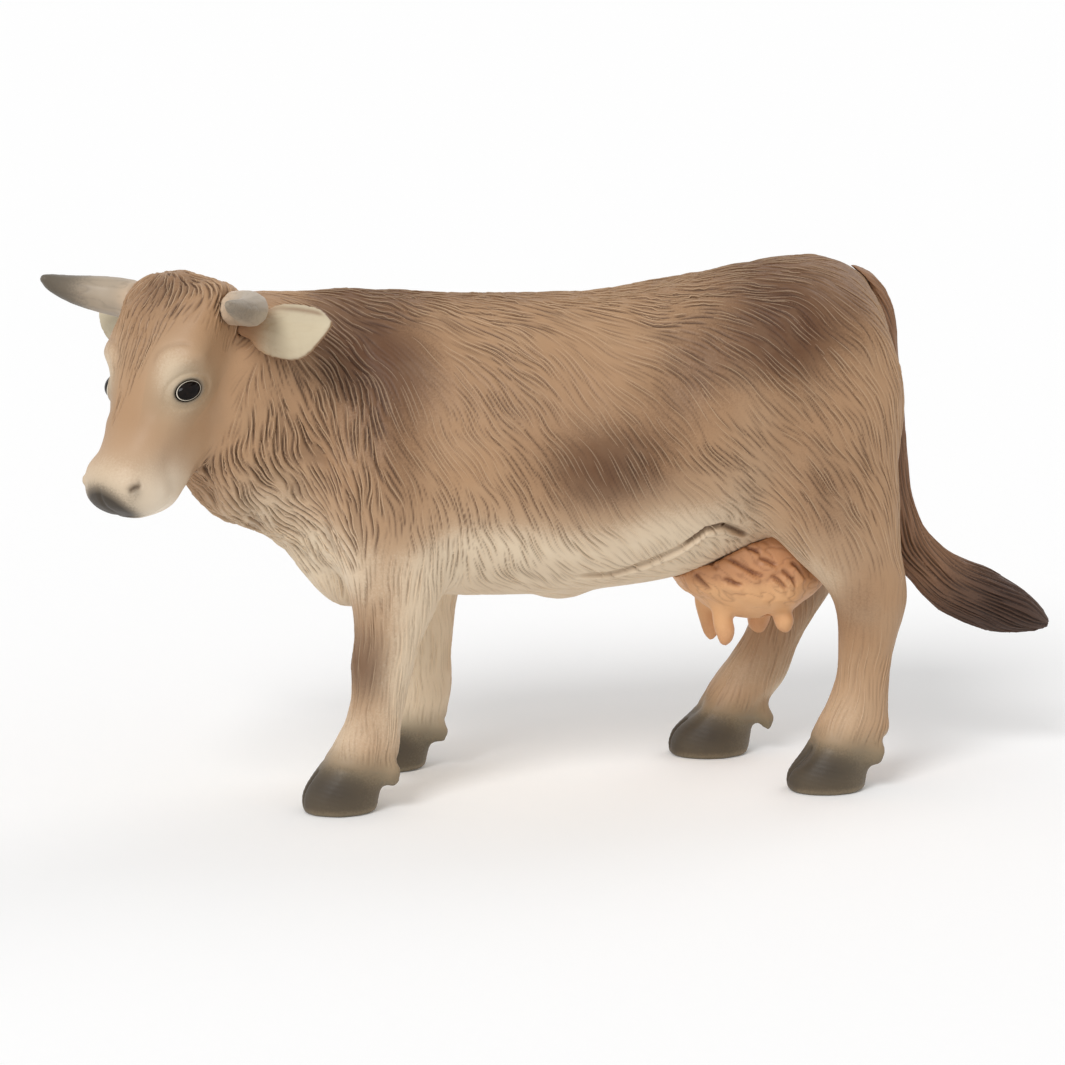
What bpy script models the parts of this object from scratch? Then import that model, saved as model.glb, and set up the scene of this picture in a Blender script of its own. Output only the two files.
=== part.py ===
"""Toy cow figure: a moulded body, head, four legs, tail, udder, horns and ears, bonded by pegs in sockets.

The cow faces -X and stands on Z = 0, with its left side towards -Y. Sizes are in metres.
"""

import math

import bmesh
import bpy
import numpy as np
from mathutils import Matrix, Vector

# Driving sizes of the figure
BODY_LENGTH = 0.088
BACK_HEIGHT = 0.070
BODY_WIDTH = 0.038
HEAD_LENGTH = 0.0322
HEAD_WIDTH = 0.0152
HEAD_DEPTH = 0.020
HEAD_TURN = math.radians(40)
HEAD_DROOP = math.radians(63)
HEAD_TILT = math.radians(3)

# Smaller forms
EYE_RADIUS = 0.0025
HORN_REACH = 0.0114
HORN_RADIUS = 0.0025
EAR_LENGTH = 0.0155
EAR_WIDTH = 0.0084
EAR_THICKNESS = 0.0013
EAR_CUP_DEPTH = 0.0016
DEWCLAW_RADIUS = 0.0012
DEWCLAW_SPACING = 0.0046
CLEFT_WIDTH = 0.0008
CLEFT_HEIGHT = 0.0055
UDDER_LENGTH = 0.022
UDDER_WIDTH = 0.0185
UDDER_RISE = 0.009
UDDER_DROP = 0.0076
TEAT_LENGTH = 0.0038
TEAT_RADIUS = 0.0013
NAVEL_RADIUS = 0.0040
SWITCH_WIDTH = 0.0080

# Bonded joints between the moulded pieces
SEAM_GAP = 0.0003
LEG_FACE_OFFSET = 0.0050
CUT_OVERRUN = 0.0300

# Pegs: radius, how far each stands out of its piece, and how deep it starts in it
LEG_PEG_SIZES = (0.0040, 0.0032, 0.0030)
NECK_PEG_SIZES = (0.0040, 0.0036, 0.0030)
UDDER_PEG_SIZES = (0.0030, 0.0055, 0.0030)
TAIL_PEG_SIZES = (0.0012, 0.0055, 0.0010)
HORN_PEG_SIZES = (0.0012, 0.0030, 0.0030)
EAR_PEG_SIZES = (0.0007, 0.0025, 0.0030)

# Fineness of the modelled surface
CLAY_VOXEL = 0.0008
UDDER_VOXEL = 0.0006
SMOOTH_PASSES = 6
CLAY_KEPT_SHARE = 0.072
UDDER_KEPT_SHARE = 0.12
RING_POINTS = 40
SMALL_RING_POINTS = 14
RINGS_PER_STATION = 5
SMALL_RINGS_PER_STATION = 2

# Torso sections: place along the body, top, bottom, half width, narrowing towards the top
TORSO_SHARES = [
    (-0.420, 0.943, 0.657, 0.184, 0.15),
    (-0.375, 0.990, 0.529, 0.289, 0.20),
    (-0.320, 1.004, 0.443, 0.368, 0.22),
    (-0.230, 0.998, 0.404, 0.434, 0.20),
    (-0.115, 0.987, 0.394, 0.474, 0.14),
    (0.000, 0.984, 0.391, 0.500, 0.12),
    (0.115, 0.988, 0.399, 0.510, 0.10),
    (0.225, 1.007, 0.416, 0.500, 0.00),
    (0.320, 1.028, 0.450, 0.470, -0.12),
    (0.410, 1.046, 0.500, 0.430, -0.10),
    (0.470, 1.045, 0.550, 0.375, -0.02),
    (0.518, 1.017, 0.620, 0.320, 0.02),
    (0.548, 0.969, 0.700, 0.230, 0.04),
    (0.566, 0.907, 0.786, 0.110, 0.00),
]

# Neck sections: place along the body, sideways place, top, bottom, half width, narrowing
NECK_SHARES = [
    (-0.270, 0.000, 0.985, 0.457, 0.350, 0.10),
    (-0.350, -0.020, 1.000, 0.450, 0.345, 0.00),
    (-0.420, -0.060, 1.005, 0.518, 0.310, -0.15),
    (-0.475, -0.110, 1.005, 0.558, 0.280, -0.15),
    (-0.520, -0.160, 0.995, 0.600, 0.245, -0.05),
    (-0.550, -0.200, 0.970, 0.690, 0.190, 0.00),
]

# Brisket fold between the front legs: place along the body, top, bottom, half width
BRISKET_SHARES = [
    (-0.430, 0.640, 0.575, 0.060),
    (-0.405, 0.680, 0.522, 0.110),
    (-0.365, 0.680, 0.442, 0.140),
    (-0.315, 0.660, 0.375, 0.150),
    (-0.260, 0.640, 0.372, 0.150),
    (-0.200, 0.600, 0.400, 0.120),
    (-0.150, 0.560, 0.430, 0.060),
]
NAVEL_PLACE_SHARES = (0.045, 0.000, 0.425)
NAVEL_STRETCH_SHARES = (1.5, 0.9, 1.0)

# Leg sections: height, front, back, inner side, outer side
FRONT_LEG_UPPER_SHARES = [
    (0.480, -0.322, -0.150, 0.120, 0.448),
    (0.570, -0.346, -0.138, 0.080, 0.468),
    (0.685, -0.352, -0.148, 0.080, 0.458),
    (0.785, -0.330, -0.176, 0.080, 0.400),
    (0.857, -0.295, -0.210, 0.080, 0.321),
    (0.900, -0.267, -0.239, 0.080, 0.250),
]
LEFT_FRONT_LEG_SHARES = [
    (-0.020, -0.380, -0.272, 0.190, 0.414),
    (0.030, -0.388, -0.266, 0.184, 0.420),
    (0.086, -0.360, -0.257, 0.195, 0.405),
    (0.129, -0.340, -0.236, 0.200, 0.400),
    (0.171, -0.318, -0.231, 0.210, 0.389),
    (0.229, -0.307, -0.219, 0.216, 0.384),
    (0.286, -0.307, -0.209, 0.205, 0.400),
    (0.343, -0.301, -0.195, 0.189, 0.411),
    (0.400, -0.304, -0.173, 0.160, 0.426),
] + FRONT_LEG_UPPER_SHARES
RIGHT_FRONT_LEG_SHARES = [
    (-0.020, -0.274, -0.156, 0.190, 0.414),
    (0.030, -0.276, -0.150, 0.184, 0.420),
    (0.086, -0.246, -0.143, 0.195, 0.405),
    (0.129, -0.223, -0.118, 0.200, 0.400),
    (0.171, -0.203, -0.111, 0.210, 0.389),
    (0.229, -0.196, -0.110, 0.216, 0.384),
    (0.286, -0.200, -0.106, 0.205, 0.400),
    (0.343, -0.212, -0.102, 0.189, 0.411),
    (0.400, -0.235, -0.098, 0.160, 0.426),
] + FRONT_LEG_UPPER_SHARES
REAR_LEG_UPPER_SHARES = [
    (0.471, 0.395, 0.566, 0.150, 0.430),
    (0.543, 0.345, 0.564, 0.140, 0.445),
    (0.629, 0.313, 0.568, 0.100, 0.455),
    (0.714, 0.307, 0.572, 0.080, 0.458),
    (0.800, 0.324, 0.570, 0.080, 0.440),
    (0.886, 0.365, 0.556, 0.080, 0.395),
    (0.957, 0.409, 0.528, 0.080, 0.320),
    (1.000, 0.443, 0.494, 0.080, 0.230),
]
LEFT_REAR_LEG_SHARES = [
    (-0.020, 0.392, 0.508, 0.190, 0.416),
    (0.030, 0.384, 0.513, 0.184, 0.424),
    (0.086, 0.411, 0.514, 0.195, 0.408),
    (0.129, 0.431, 0.541, 0.200, 0.403),
    (0.171, 0.450, 0.546, 0.210, 0.392),
    (0.229, 0.465, 0.549, 0.216, 0.387),
    (0.286, 0.466, 0.556, 0.210, 0.392),
    (0.343, 0.465, 0.570, 0.200, 0.400),
    (0.400, 0.450, 0.577, 0.184, 0.416),
] + REAR_LEG_UPPER_SHARES
RIGHT_REAR_LEG_SHARES = [
    (-0.020, 0.256, 0.379, 0.190, 0.416),
    (0.030, 0.248, 0.384, 0.184, 0.424),
    (0.086, 0.277, 0.390, 0.195, 0.408),
    (0.129, 0.303, 0.426, 0.200, 0.403),
    (0.171, 0.333, 0.448, 0.210, 0.392),
    (0.229, 0.366, 0.464, 0.216, 0.387),
    (0.286, 0.387, 0.492, 0.210, 0.392),
    (0.343, 0.409, 0.522, 0.200, 0.400),
    (0.400, 0.414, 0.548, 0.184, 0.416),
] + REAR_LEG_UPPER_SHARES
DEWCLAW_STRETCH_SHARES = (1.0, 1.0, 1.7)
CLEFT_REACH_SHARE = 0.65

# Where each leg parts from the torso: foot place and half length, top place and half length
LEG_PARTING_SHARES = {
    "front_left_leg": (-0.324, 0.125, -0.244, 0.140),
    "front_right_leg": (-0.210, 0.140, -0.222, 0.150),
    "rear_left_leg": (0.466, 0.125, 0.443, 0.200),
    "rear_right_leg": (0.380, 0.165, 0.443, 0.200),
}
FRONT_ARCH_SPRING_SHARE = 0.657
FRONT_ARCH_CROWN_SHARE = 0.857
REAR_ARCH_SPRING_SHARE = 0.690
REAR_ARCH_CROWN_SHARE = 0.900

# Where the neck parts from the torso: the centre of the face, and how it leans and turns
NECK_FACE_SHARES = (-0.435, -0.050, 0.770)
NECK_FACE_LEAN = math.radians(16)
NECK_FACE_TURN = math.radians(10)

# The head: where its poll is on the body, and its sections down the face.
# Each section has its place, half width, depth before and behind the line from the poll, and narrowing.
POLL_SHARES = (-0.555, -0.210, 1.036)
HEAD_SECTION_SHARES = [
    (-0.062, 0.30, 0.05, 0.22, 0.00),
    (-0.015, 0.52, 0.15, 0.42, 0.00),
    (0.060, 0.56, 0.19, 0.56, -0.10),
    (0.180, 0.55, 0.22, 0.68, -0.20),
    (0.320, 0.52, 0.22, 0.76, -0.26),
    (0.450, 0.47, 0.20, 0.78, -0.26),
    (0.570, 0.40, 0.17, 0.69, -0.20),
    (0.680, 0.33, 0.16, 0.57, -0.12),
    (0.790, 0.32, 0.19, 0.49, -0.06),
    (0.880, 0.37, 0.24, 0.41, 0.00),
    (0.955, 0.34, 0.21, 0.29, 0.00),
    (1.000, 0.21, 0.12, 0.14, 0.00),
]
EYE_SHARES = (0.456, 0.400, 0.010)

# Horns, in the head's frame: root, then the line as shares of the reach (down, sideways, forwards)
HORN_ROOT_SHARES = (0.085, 0.400, -0.080)
HORN_LINE_SHARES = [
    (0.00, 0.00, 0.00),
    (0.00, 0.42, 0.04),
    (0.05, 0.72, 0.18),
    (0.12, 0.94, 0.42),
    (0.15, 1.05, 0.66),
    (0.16, 1.10, 0.82),
]
HORN_TAPER_SHARES = (1.00, 1.02, 0.95, 0.78, 0.52, 0.24)
HORN_LIFT_SHARES = {"left_horn": 0.14, "right_horn": -0.14}

# Ears, in the head's frame: root, direction, then the place, width and thickness along the ear
EAR_ROOT_SHARES = (0.125, 0.470, -0.270)
EAR_DIRECTION = (-0.05, 0.97, -0.12)
EAR_SECTION_SHARES = [
    (0.00, 0.22, 1.70),
    (0.14, 0.34, 1.60),
    (0.28, 0.76, 1.15),
    (0.46, 1.00, 1.00),
    (0.66, 0.96, 0.95),
    (0.82, 0.72, 0.90),
    (0.94, 0.36, 0.80),
    (1.00, 0.10, 0.60),
]

# Udder: where it hangs, then the place along it, rise, fall and half width of each section
UDDER_PLACE_SHARES = (0.358, 0.000, 0.430)
UDDER_SECTION_SHARES = [
    (-0.54, 0.10, 0.06, 0.12),
    (-0.46, 0.40, 0.34, 0.32),
    (-0.30, 0.75, 0.80, 0.45),
    (-0.08, 0.95, 1.00, 0.50),
    (0.16, 1.00, 0.98, 0.49),
    (0.34, 1.10, 0.78, 0.42),
    (0.47, 1.15, 0.46, 0.30),
    (0.54, 0.90, 0.10, 0.14),
]
TEAT_PLACE_SHARES = [(-0.26, -0.22), (-0.30, 0.22), (0.16, -0.22), (0.10, 0.22)]

# Tail line along the body and up it, its sway to the left, then half width and half thickness
TAIL_SHARES = [
    (0.470, 0.993, 0.000, 0.12, 0.10),
    (0.511, 1.004, 0.000, 0.24, 0.22),
    (0.545, 0.966, 0.000, 0.28, 0.26),
    (0.567, 0.893, -0.010, 0.27, 0.25),
    (0.582, 0.771, -0.030, 0.26, 0.23),
    (0.589, 0.643, -0.050, 0.26, 0.23),
    (0.595, 0.543, -0.060, 0.28, 0.28),
    (0.614, 0.464, -0.060, 0.34, 0.38),
    (0.653, 0.404, -0.060, 0.40, 0.47),
    (0.705, 0.357, -0.060, 0.44, 0.50),
    (0.761, 0.311, -0.060, 0.40, 0.44),
    (0.812, 0.277, -0.060, 0.26, 0.26),
    (0.841, 0.260, -0.060, 0.08, 0.08),
]
TAIL_PEG_SLOPE_SHARE = 0.5

COLOURS = {
    "hide": (0.43, 0.29, 0.18, 1.0),
    "horn": (0.33, 0.30, 0.26, 1.0),
    "udder": (0.68, 0.42, 0.25, 1.0),
    "tail": (0.14, 0.09, 0.06, 1.0),
    "ear": (0.66, 0.56, 0.42, 1.0),
}
MOULDING_ROUGHNESS = 0.55


def clear_scene():
    for obj in list(bpy.data.objects):
        bpy.data.objects.remove(obj, do_unlink=True)


def new_collection(name):
    collection = bpy.data.collections.new(name)
    bpy.context.scene.collection.children.link(collection)
    return collection


def material(name):
    made = bpy.data.materials.get(name)
    if made is None:
        made = bpy.data.materials.new(name)
        made.use_nodes = True
        shader = made.node_tree.nodes["Principled BSDF"]
        shader.inputs["Base Color"].default_value = COLOURS[name]
        shader.inputs["Roughness"].default_value = MOULDING_ROUGHNESS
        shader.inputs["Metallic"].default_value = 0.0
        made.diffuse_color = COLOURS[name]
    return made


def new_object(name, mesh, collection):
    obj = bpy.data.objects.new(name, mesh)
    collection.objects.link(obj)
    return obj


def object_from_bmesh(name, bm, collection):
    mesh = bpy.data.meshes.new(name)
    bm.to_mesh(mesh)
    bm.free()
    return new_object(name, mesh, collection)


def evaluated_mesh(obj):
    """The object's mesh with its modifiers applied."""
    graph = bpy.context.evaluated_depsgraph_get()
    return bpy.data.meshes.new_from_object(obj.evaluated_get(graph))


def hidden(obj):
    obj.hide_render = True
    obj.display_type = "WIRE"
    return obj


def boolean(obj, cutter, operation):
    modifier = obj.modifiers.new(cutter.name, "BOOLEAN")
    modifier.object = cutter
    modifier.operation = operation
    modifier.solver = "EXACT"


def on_body(shares):
    """A place on the figure: along the body, sideways and up."""
    along, sideways, up = shares
    return Vector((along * BODY_LENGTH, sideways * BODY_WIDTH, up * BACK_HEIGHT))


def smooth_rows(rows, steps=RINGS_PER_STATION):
    """A Catmull-Rom curve through the rows of a table, with so many steps to each span."""
    rows = np.array(rows, float)
    padded = np.vstack([2 * rows[0] - rows[1], rows, 2 * rows[-1] - rows[-2]])
    made = []
    for i in range(len(rows) - 1):
        before, start, end, after = padded[i : i + 4]
        for t in np.arange(steps) / steps:
            bend = (2 * before - 5 * start + 4 * end - after) * t**2
            twist = (3 * start - before - 3 * end + after) * t**3
            made.append(start + 0.5 * ((end - before) * t + bend + twist))
    made.append(rows[-1])
    return np.array(made)


def add_loft(bm, rings):
    """A closed skin over the rings, each an array of as many points in the same turning order."""
    loops = [[bm.verts.new(point) for point in ring] for ring in rings]
    faces = []
    for low, high in zip(loops, loops[1:]):
        for i in range(len(low)):
            j = (i + 1) % len(low)
            faces.append(bm.faces.new((low[i], low[j], high[j], high[i])))
    faces.append(bm.faces.new(loops[0][::-1]))
    faces.append(bm.faces.new(loops[-1]))
    bmesh.ops.recalc_face_normals(bm, faces=faces)


def egg_ring(centre, side, up, half_width, rise, fall, narrowing=0.0, points=RING_POINTS):
    """An oval about centre: half_width to each side, rise above and fall below, narrower at its top."""
    turn = np.linspace(0, 2 * math.pi, points, endpoint=False)
    across = np.cos(turn) * half_width * (1 - narrowing * np.sin(turn))
    height = np.where(np.sin(turn) > 0, rise, fall) * np.sin(turn)
    return np.array(centre) + np.outer(across, side) + np.outer(height, up)


def body_ring(x, y, top, bottom, half_width, narrowing=0.0, side=(0, 1, 0)):
    """An upright oval of the body, from shares of its three sizes."""
    half_height = (top - bottom) / 2
    centre = on_body((x, y, (top + bottom) / 2))
    rise = half_height * BACK_HEIGHT
    return egg_ring(centre, side, (0, 0, 1), half_width * BODY_WIDTH, rise, rise, narrowing)


def add_torso(bm):
    add_loft(bm, [body_ring(x, 0, *row) for x, *row in smooth_rows(TORSO_SHARES)])
    add_loft(bm, [body_ring(x, 0, *row) for x, *row in smooth_rows(BRISKET_SHARES)])


def add_neck(bm):
    rows = smooth_rows(NECK_SHARES)
    headings = np.gradient(rows[:, :2] * (BODY_LENGTH, BODY_WIDTH), axis=0)
    rings = []
    for row, heading in zip(rows, headings):
        side = np.array((heading[1], -heading[0], 0)) / np.linalg.norm(heading)
        rings.append(body_ring(*row, side))
    add_loft(bm, rings)


def add_leg(bm, shares, side_sign):
    rings = []
    for height, front, back, inner, outer in smooth_rows(shares):
        centre = on_body(((front + back) / 2, side_sign * (inner + outer) / 2, height))
        half_length = (back - front) / 2 * BODY_LENGTH
        half_width = (outer - inner) / 2 * BODY_WIDTH
        rings.append(egg_ring(centre, (1, 0, 0), (0, 1, 0), half_length, half_width, half_width))
    add_loft(bm, rings)


def add_ball(bm, centre, radius, stretch=(1, 1, 1)):
    scaled = Matrix.Translation(centre) @ Matrix.Diagonal((*stretch, 1))
    bmesh.ops.create_uvsphere(bm, u_segments=16, v_segments=10, radius=radius, matrix=scaled)


def add_dewclaws(bm, shares, side_sign):
    """Two small claws behind the pastern, between the third and fourth rows of a leg's table."""
    height, _, back, inner, outer = ((low + high) / 2 for low, high in zip(shares[2], shares[3]))
    pastern = on_body((back, side_sign * (inner + outer) / 2, height))
    for side in (-1, 1):
        claw = pastern + Vector((0, side * DEWCLAW_SPACING / 2, -2 * DEWCLAW_RADIUS))
        add_ball(bm, claw, DEWCLAW_RADIUS, DEWCLAW_STRETCH_SHARES)


def head_matrix():
    """The head's frame: X down the face from the poll, Y to the cow's left, Z out of the forehead."""
    forward = Vector((-math.cos(HEAD_TURN), -math.sin(HEAD_TURN), 0))
    upward = Vector((0, 0, 1))
    down_face = math.cos(HEAD_DROOP) * forward - math.sin(HEAD_DROOP) * upward
    out = math.sin(HEAD_DROOP) * forward + math.cos(HEAD_DROOP) * upward
    turned = Matrix((down_face, out.cross(down_face), out)).transposed().to_4x4()
    tilt = Matrix.Rotation(HEAD_TILT, 4, forward)
    return Matrix.Translation(on_body(POLL_SHARES)) @ tilt @ turned


def on_head(shares, side_sign=1):
    """A place in the head's frame, given as shares of its length, width and depth."""
    down, sideways, out = shares
    return head_matrix() @ Vector((down * HEAD_LENGTH, side_sign * sideways * HEAD_WIDTH, out * HEAD_DEPTH))


def add_head(bm):
    frame = head_matrix()
    side = np.array(frame.col[1].xyz)
    out = np.array(frame.col[2].xyz)
    rings = []
    for down, half_width, before, behind, narrowing in smooth_rows(HEAD_SECTION_SHARES):
        centre = on_head((down, 0, 0))
        sizes = (half_width * HEAD_WIDTH, before * HEAD_DEPTH, behind * HEAD_DEPTH)
        rings.append(egg_ring(centre, side, out, *sizes, narrowing))
    add_loft(bm, rings)
    for side_sign in (-1, 1):
        add_ball(bm, on_head(EYE_SHARES, side_sign), EYE_RADIUS)


LEGS = {
    "front_left_leg": (LEFT_FRONT_LEG_SHARES, -1, FRONT_ARCH_SPRING_SHARE, FRONT_ARCH_CROWN_SHARE),
    "front_right_leg": (RIGHT_FRONT_LEG_SHARES, 1, FRONT_ARCH_SPRING_SHARE, FRONT_ARCH_CROWN_SHARE),
    "rear_left_leg": (LEFT_REAR_LEG_SHARES, -1, REAR_ARCH_SPRING_SHARE, REAR_ARCH_CROWN_SHARE),
    "rear_right_leg": (RIGHT_REAR_LEG_SHARES, 1, REAR_ARCH_SPRING_SHARE, REAR_ARCH_CROWN_SHARE),
}


def fused(name, bm, voxel, kept_share, collection):
    """The overlapping forms in bm as one smooth closed skin."""
    lump = object_from_bmesh(name, bm, collection)
    remesh = lump.modifiers.new("fuse", "REMESH")
    remesh.mode = "VOXEL"
    remesh.voxel_size = voxel
    smooth = lump.modifiers.new("smooth", "SMOOTH")
    smooth.iterations = SMOOTH_PASSES
    thin = lump.modifiers.new("thin", "DECIMATE")
    thin.ratio = kept_share
    mesh = evaluated_mesh(lump)
    bpy.data.objects.remove(lump)
    return mesh


def body_clay(collection):
    """Body, neck, head and legs as they are sculpted, before they are parted into mouldings."""
    bm = bmesh.new()
    add_torso(bm)
    add_neck(bm)
    add_head(bm)
    add_ball(bm, on_body(NAVEL_PLACE_SHARES), NAVEL_RADIUS, NAVEL_STRETCH_SHARES)
    for shares, side_sign, _, _ in LEGS.values():
        add_leg(bm, shares, side_sign)
        add_dewclaws(bm, shares, side_sign)
    return fused("clay", bm, CLAY_VOXEL, CLAY_KEPT_SHARE, collection)


def grown_clay(clay, collection):
    """The sculpt with its skin moved out by the seam gap, to cut what is bonded onto it."""
    grown = new_object("grown_clay", clay.copy(), collection)
    offset = grown.modifiers.new("grow", "DISPLACE")
    offset.strength = SEAM_GAP
    offset.mid_level = 0.0
    return hidden(grown)


def leg_parting(name, grow, collection):
    """The arch of space that a leg and its shoulder or thigh take from the sculpt, grown all round."""
    _, side_sign, spring_share, crown_share = LEGS[name]
    foot, foot_half, top, top_half = (share * BODY_LENGTH for share in LEG_PARTING_SHARES[name])
    spring = spring_share * BACK_HEIGHT
    rise = crown_share * BACK_HEIGHT - spring + grow
    front, back = foot - foot_half - grow, foot + foot_half + grow
    outline = [(front, 0), (back, 0)]
    if grow:
        outline = [(front, 0), (front, -CUT_OVERRUN), (back, -CUT_OVERRUN), (back, 0)]
    for turn in np.linspace(0, math.pi, RING_POINTS // 2):
        outline.append((top + (top_half + grow) * math.cos(turn), spring + rise * math.sin(turn)))
    bm = bmesh.new()
    inner = side_sign * (LEG_FACE_OFFSET - grow)
    face = bm.faces.new([bm.verts.new((x, inner, z)) for x, z in outline])
    swept = bmesh.ops.extrude_face_region(bm, geom=[face])["geom"]
    moved = [v for v in swept if isinstance(v, bmesh.types.BMVert)]
    bmesh.ops.translate(bm, verts=moved, vec=(0, side_sign * CUT_OVERRUN, 0))
    bmesh.ops.recalc_face_normals(bm, faces=bm.faces)
    kind = "clearance" if grow else "parting"
    return hidden(object_from_bmesh(f"{name}_{kind}", bm, collection))


def neck_face():
    """The centre of the face where the neck meets the torso, and the way the neck leaves it."""
    level = math.cos(NECK_FACE_LEAN)
    forward = Vector((-math.cos(NECK_FACE_TURN), -math.sin(NECK_FACE_TURN), 0))
    return on_body(NECK_FACE_SHARES), level * forward + Vector((0, 0, math.sin(NECK_FACE_LEAN)))


def neck_parting(grow, collection):
    """A block as large as the body, with its back on the face where the neck meets the torso."""
    bm = bmesh.new()
    bmesh.ops.create_cube(bm, size=2 * BODY_LENGTH)
    kind = "clearance" if grow else "parting"
    block = object_from_bmesh(f"neck_{kind}", bm, collection)
    centre, way = neck_face()
    block.rotation_mode = "QUATERNION"
    block.rotation_quaternion = way.to_track_quat("X", "Z")
    block.location = centre + way * (BODY_LENGTH - grow)
    return hidden(block)


def hoof_cleft(name, collection):
    """The thin slot that parts the two claws of a hoof."""
    shares, side_sign, _, _ = LEGS[name]
    _, front, back, inner, outer = shares[1]
    half_length = CLEFT_REACH_SHARE * (back - front) * BODY_LENGTH
    bm = bmesh.new()
    bmesh.ops.create_cube(bm, size=2)
    bmesh.ops.scale(bm, vec=(half_length, CLEFT_WIDTH / 2, CLEFT_HEIGHT), verts=bm.verts)
    slot = object_from_bmesh(f"{name}_cleft", bm, collection)
    slot.location = on_body((front, side_sign * (inner + outer) / 2, 0))
    return hidden(slot)


def round_bar(name, start, way, radius, length, collection):
    """A round bar that runs from start along the direction way."""
    bm = bmesh.new()
    bmesh.ops.create_cone(bm, cap_ends=True, segments=24, radius1=radius, radius2=radius, depth=length)
    bar = object_from_bmesh(name, bm, collection)
    bar.rotation_mode = "QUATERNION"
    bar.rotation_quaternion = way.to_track_quat("Z", "Y")
    bar.location = start + way * length / 2
    return hidden(bar)


def bond(name, owner, base, face, way, sizes, cutters):
    """A peg of the owner that stands out of its face, in a socket of the base with clearance.

    The sizes are the peg's radius, how far it stands out, and how deep it starts in its owner.
    """
    radius, length, root = sizes
    way = Vector(way).normalized()
    start = Vector(face) - way * root
    peg = round_bar(f"{name}_peg", start, way, radius, root + length, cutters)
    socket = round_bar(f"{name}_socket", start, way, radius + SEAM_GAP, root + length + SEAM_GAP, cutters)
    boolean(owner, peg, "UNION")
    boolean(base, socket, "DIFFERENCE")


def piece(name, mesh, look, collection):
    """One moulding, with its own mesh, named material and rounded shading."""
    obj = new_object(name, mesh, collection)
    obj.data.name = name
    obj.data.materials.clear()
    obj.data.materials.append(material(look))
    obj.data.shade_smooth()
    obj.data.set_sharp_from_angle(angle=math.radians(50))
    return obj


def horn_mesh(name, side_sign, collection):
    """A tube that curves out and forward, and tapers to a blunt tip."""
    frame = head_matrix()
    root = on_head(HORN_ROOT_SHARES, side_sign)
    lift = HORN_LIFT_SHARES[name]
    rows = []
    for (down, sideways, forwards), taper in zip(HORN_LINE_SHARES, HORN_TAPER_SHARES):
        step = Vector((down + lift * sideways, side_sign * sideways, forwards)) * HORN_REACH
        rows.append((*(root + frame.to_3x3() @ step), taper * HORN_RADIUS))
    curve = bpy.data.curves.new(name, "CURVE")
    curve.dimensions = "3D"
    curve.bevel_depth = 1.0
    curve.bevel_resolution = 3
    curve.use_fill_caps = True
    spline = curve.splines.new("POLY")
    rows = smooth_rows(rows, SMALL_RINGS_PER_STATION)
    spline.points.add(len(rows) - 1)
    for point, row in zip(spline.points, rows):
        point.co = (*row[:3], 1)
        point.radius = row[3]
    line = new_object(name + "_line", curve, collection)
    mesh = evaluated_mesh(line)
    bpy.data.objects.remove(line)
    bm = bmesh.new()
    bm.from_mesh(mesh)
    bmesh.ops.remove_doubles(bm, verts=bm.verts, dist=SEAM_GAP / 10)
    bmesh.ops.recalc_face_normals(bm, faces=bm.faces)
    bm.to_mesh(mesh)
    bm.free()
    return mesh


def horn_bond_line(side_sign):
    """Where a horn leaves the head, and the way into the head from there."""
    first, second = (
        Vector((share[0], side_sign * share[1], share[2])) for share in (HORN_LINE_SHARES[0], HORN_LINE_SHARES[1])
    )
    return on_head(HORN_ROOT_SHARES, side_sign), head_matrix().to_3x3() @ (first - second)


def ear_directions(side_sign):
    """Along the ear, down across its leaf, and out of its hollow side."""
    frame = head_matrix().to_3x3()
    along, sideways, out = EAR_DIRECTION
    axis = (frame @ Vector((along, side_sign * sideways, out))).normalized()
    across = (frame.col[0] - axis * axis.dot(frame.col[0])).normalized()
    return axis, across, axis.cross(across) * side_sign


def ear_mesh(name, side_sign):
    """A leaf that starts as a round stem and opens into a shallow cup."""
    axis, across, hollow = (np.array(way) for way in ear_directions(side_sign))
    root = np.array(on_head(EAR_ROOT_SHARES, side_sign))
    turn = np.linspace(0, 2 * math.pi, SMALL_RING_POINTS, endpoint=False)
    rings = []
    for place, width, thickness in smooth_rows(EAR_SECTION_SHARES, SMALL_RINGS_PER_STATION):
        centre = root + axis * place * EAR_LENGTH
        spread = np.cos(turn) * width * EAR_WIDTH / 2
        depth = np.sin(turn) * thickness * EAR_THICKNESS / 2 + EAR_CUP_DEPTH * width**2 * np.cos(turn) ** 2
        rings.append(centre + np.outer(spread, across) + np.outer(depth, hollow))
    bm = bmesh.new()
    add_loft(bm, rings)
    mesh = bpy.data.meshes.new(name)
    bm.to_mesh(mesh)
    bm.free()
    return mesh


def udder_mesh(collection):
    """The bag and its four teats."""
    place = on_body(UDDER_PLACE_SHARES)
    rings = []
    for along, rise, fall, half_width in smooth_rows(UDDER_SECTION_SHARES):
        centre = place + Vector((along * UDDER_LENGTH, 0, 0))
        sizes = (half_width * UDDER_WIDTH, rise * UDDER_RISE, fall * UDDER_DROP)
        rings.append(egg_ring(centre, (0, 1, 0), (0, 0, 1), *sizes))
    bm = bmesh.new()
    add_loft(bm, rings)
    for along, sideways in TEAT_PLACE_SHARES:
        tip = place + Vector((along * UDDER_LENGTH, sideways * UDDER_WIDTH, -UDDER_DROP))
        add_ball(bm, tip, TEAT_RADIUS, (1, 1, TEAT_LENGTH / TEAT_RADIUS))
    return fused("udder_form", bm, UDDER_VOXEL, UDDER_KEPT_SHARE, collection)


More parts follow.
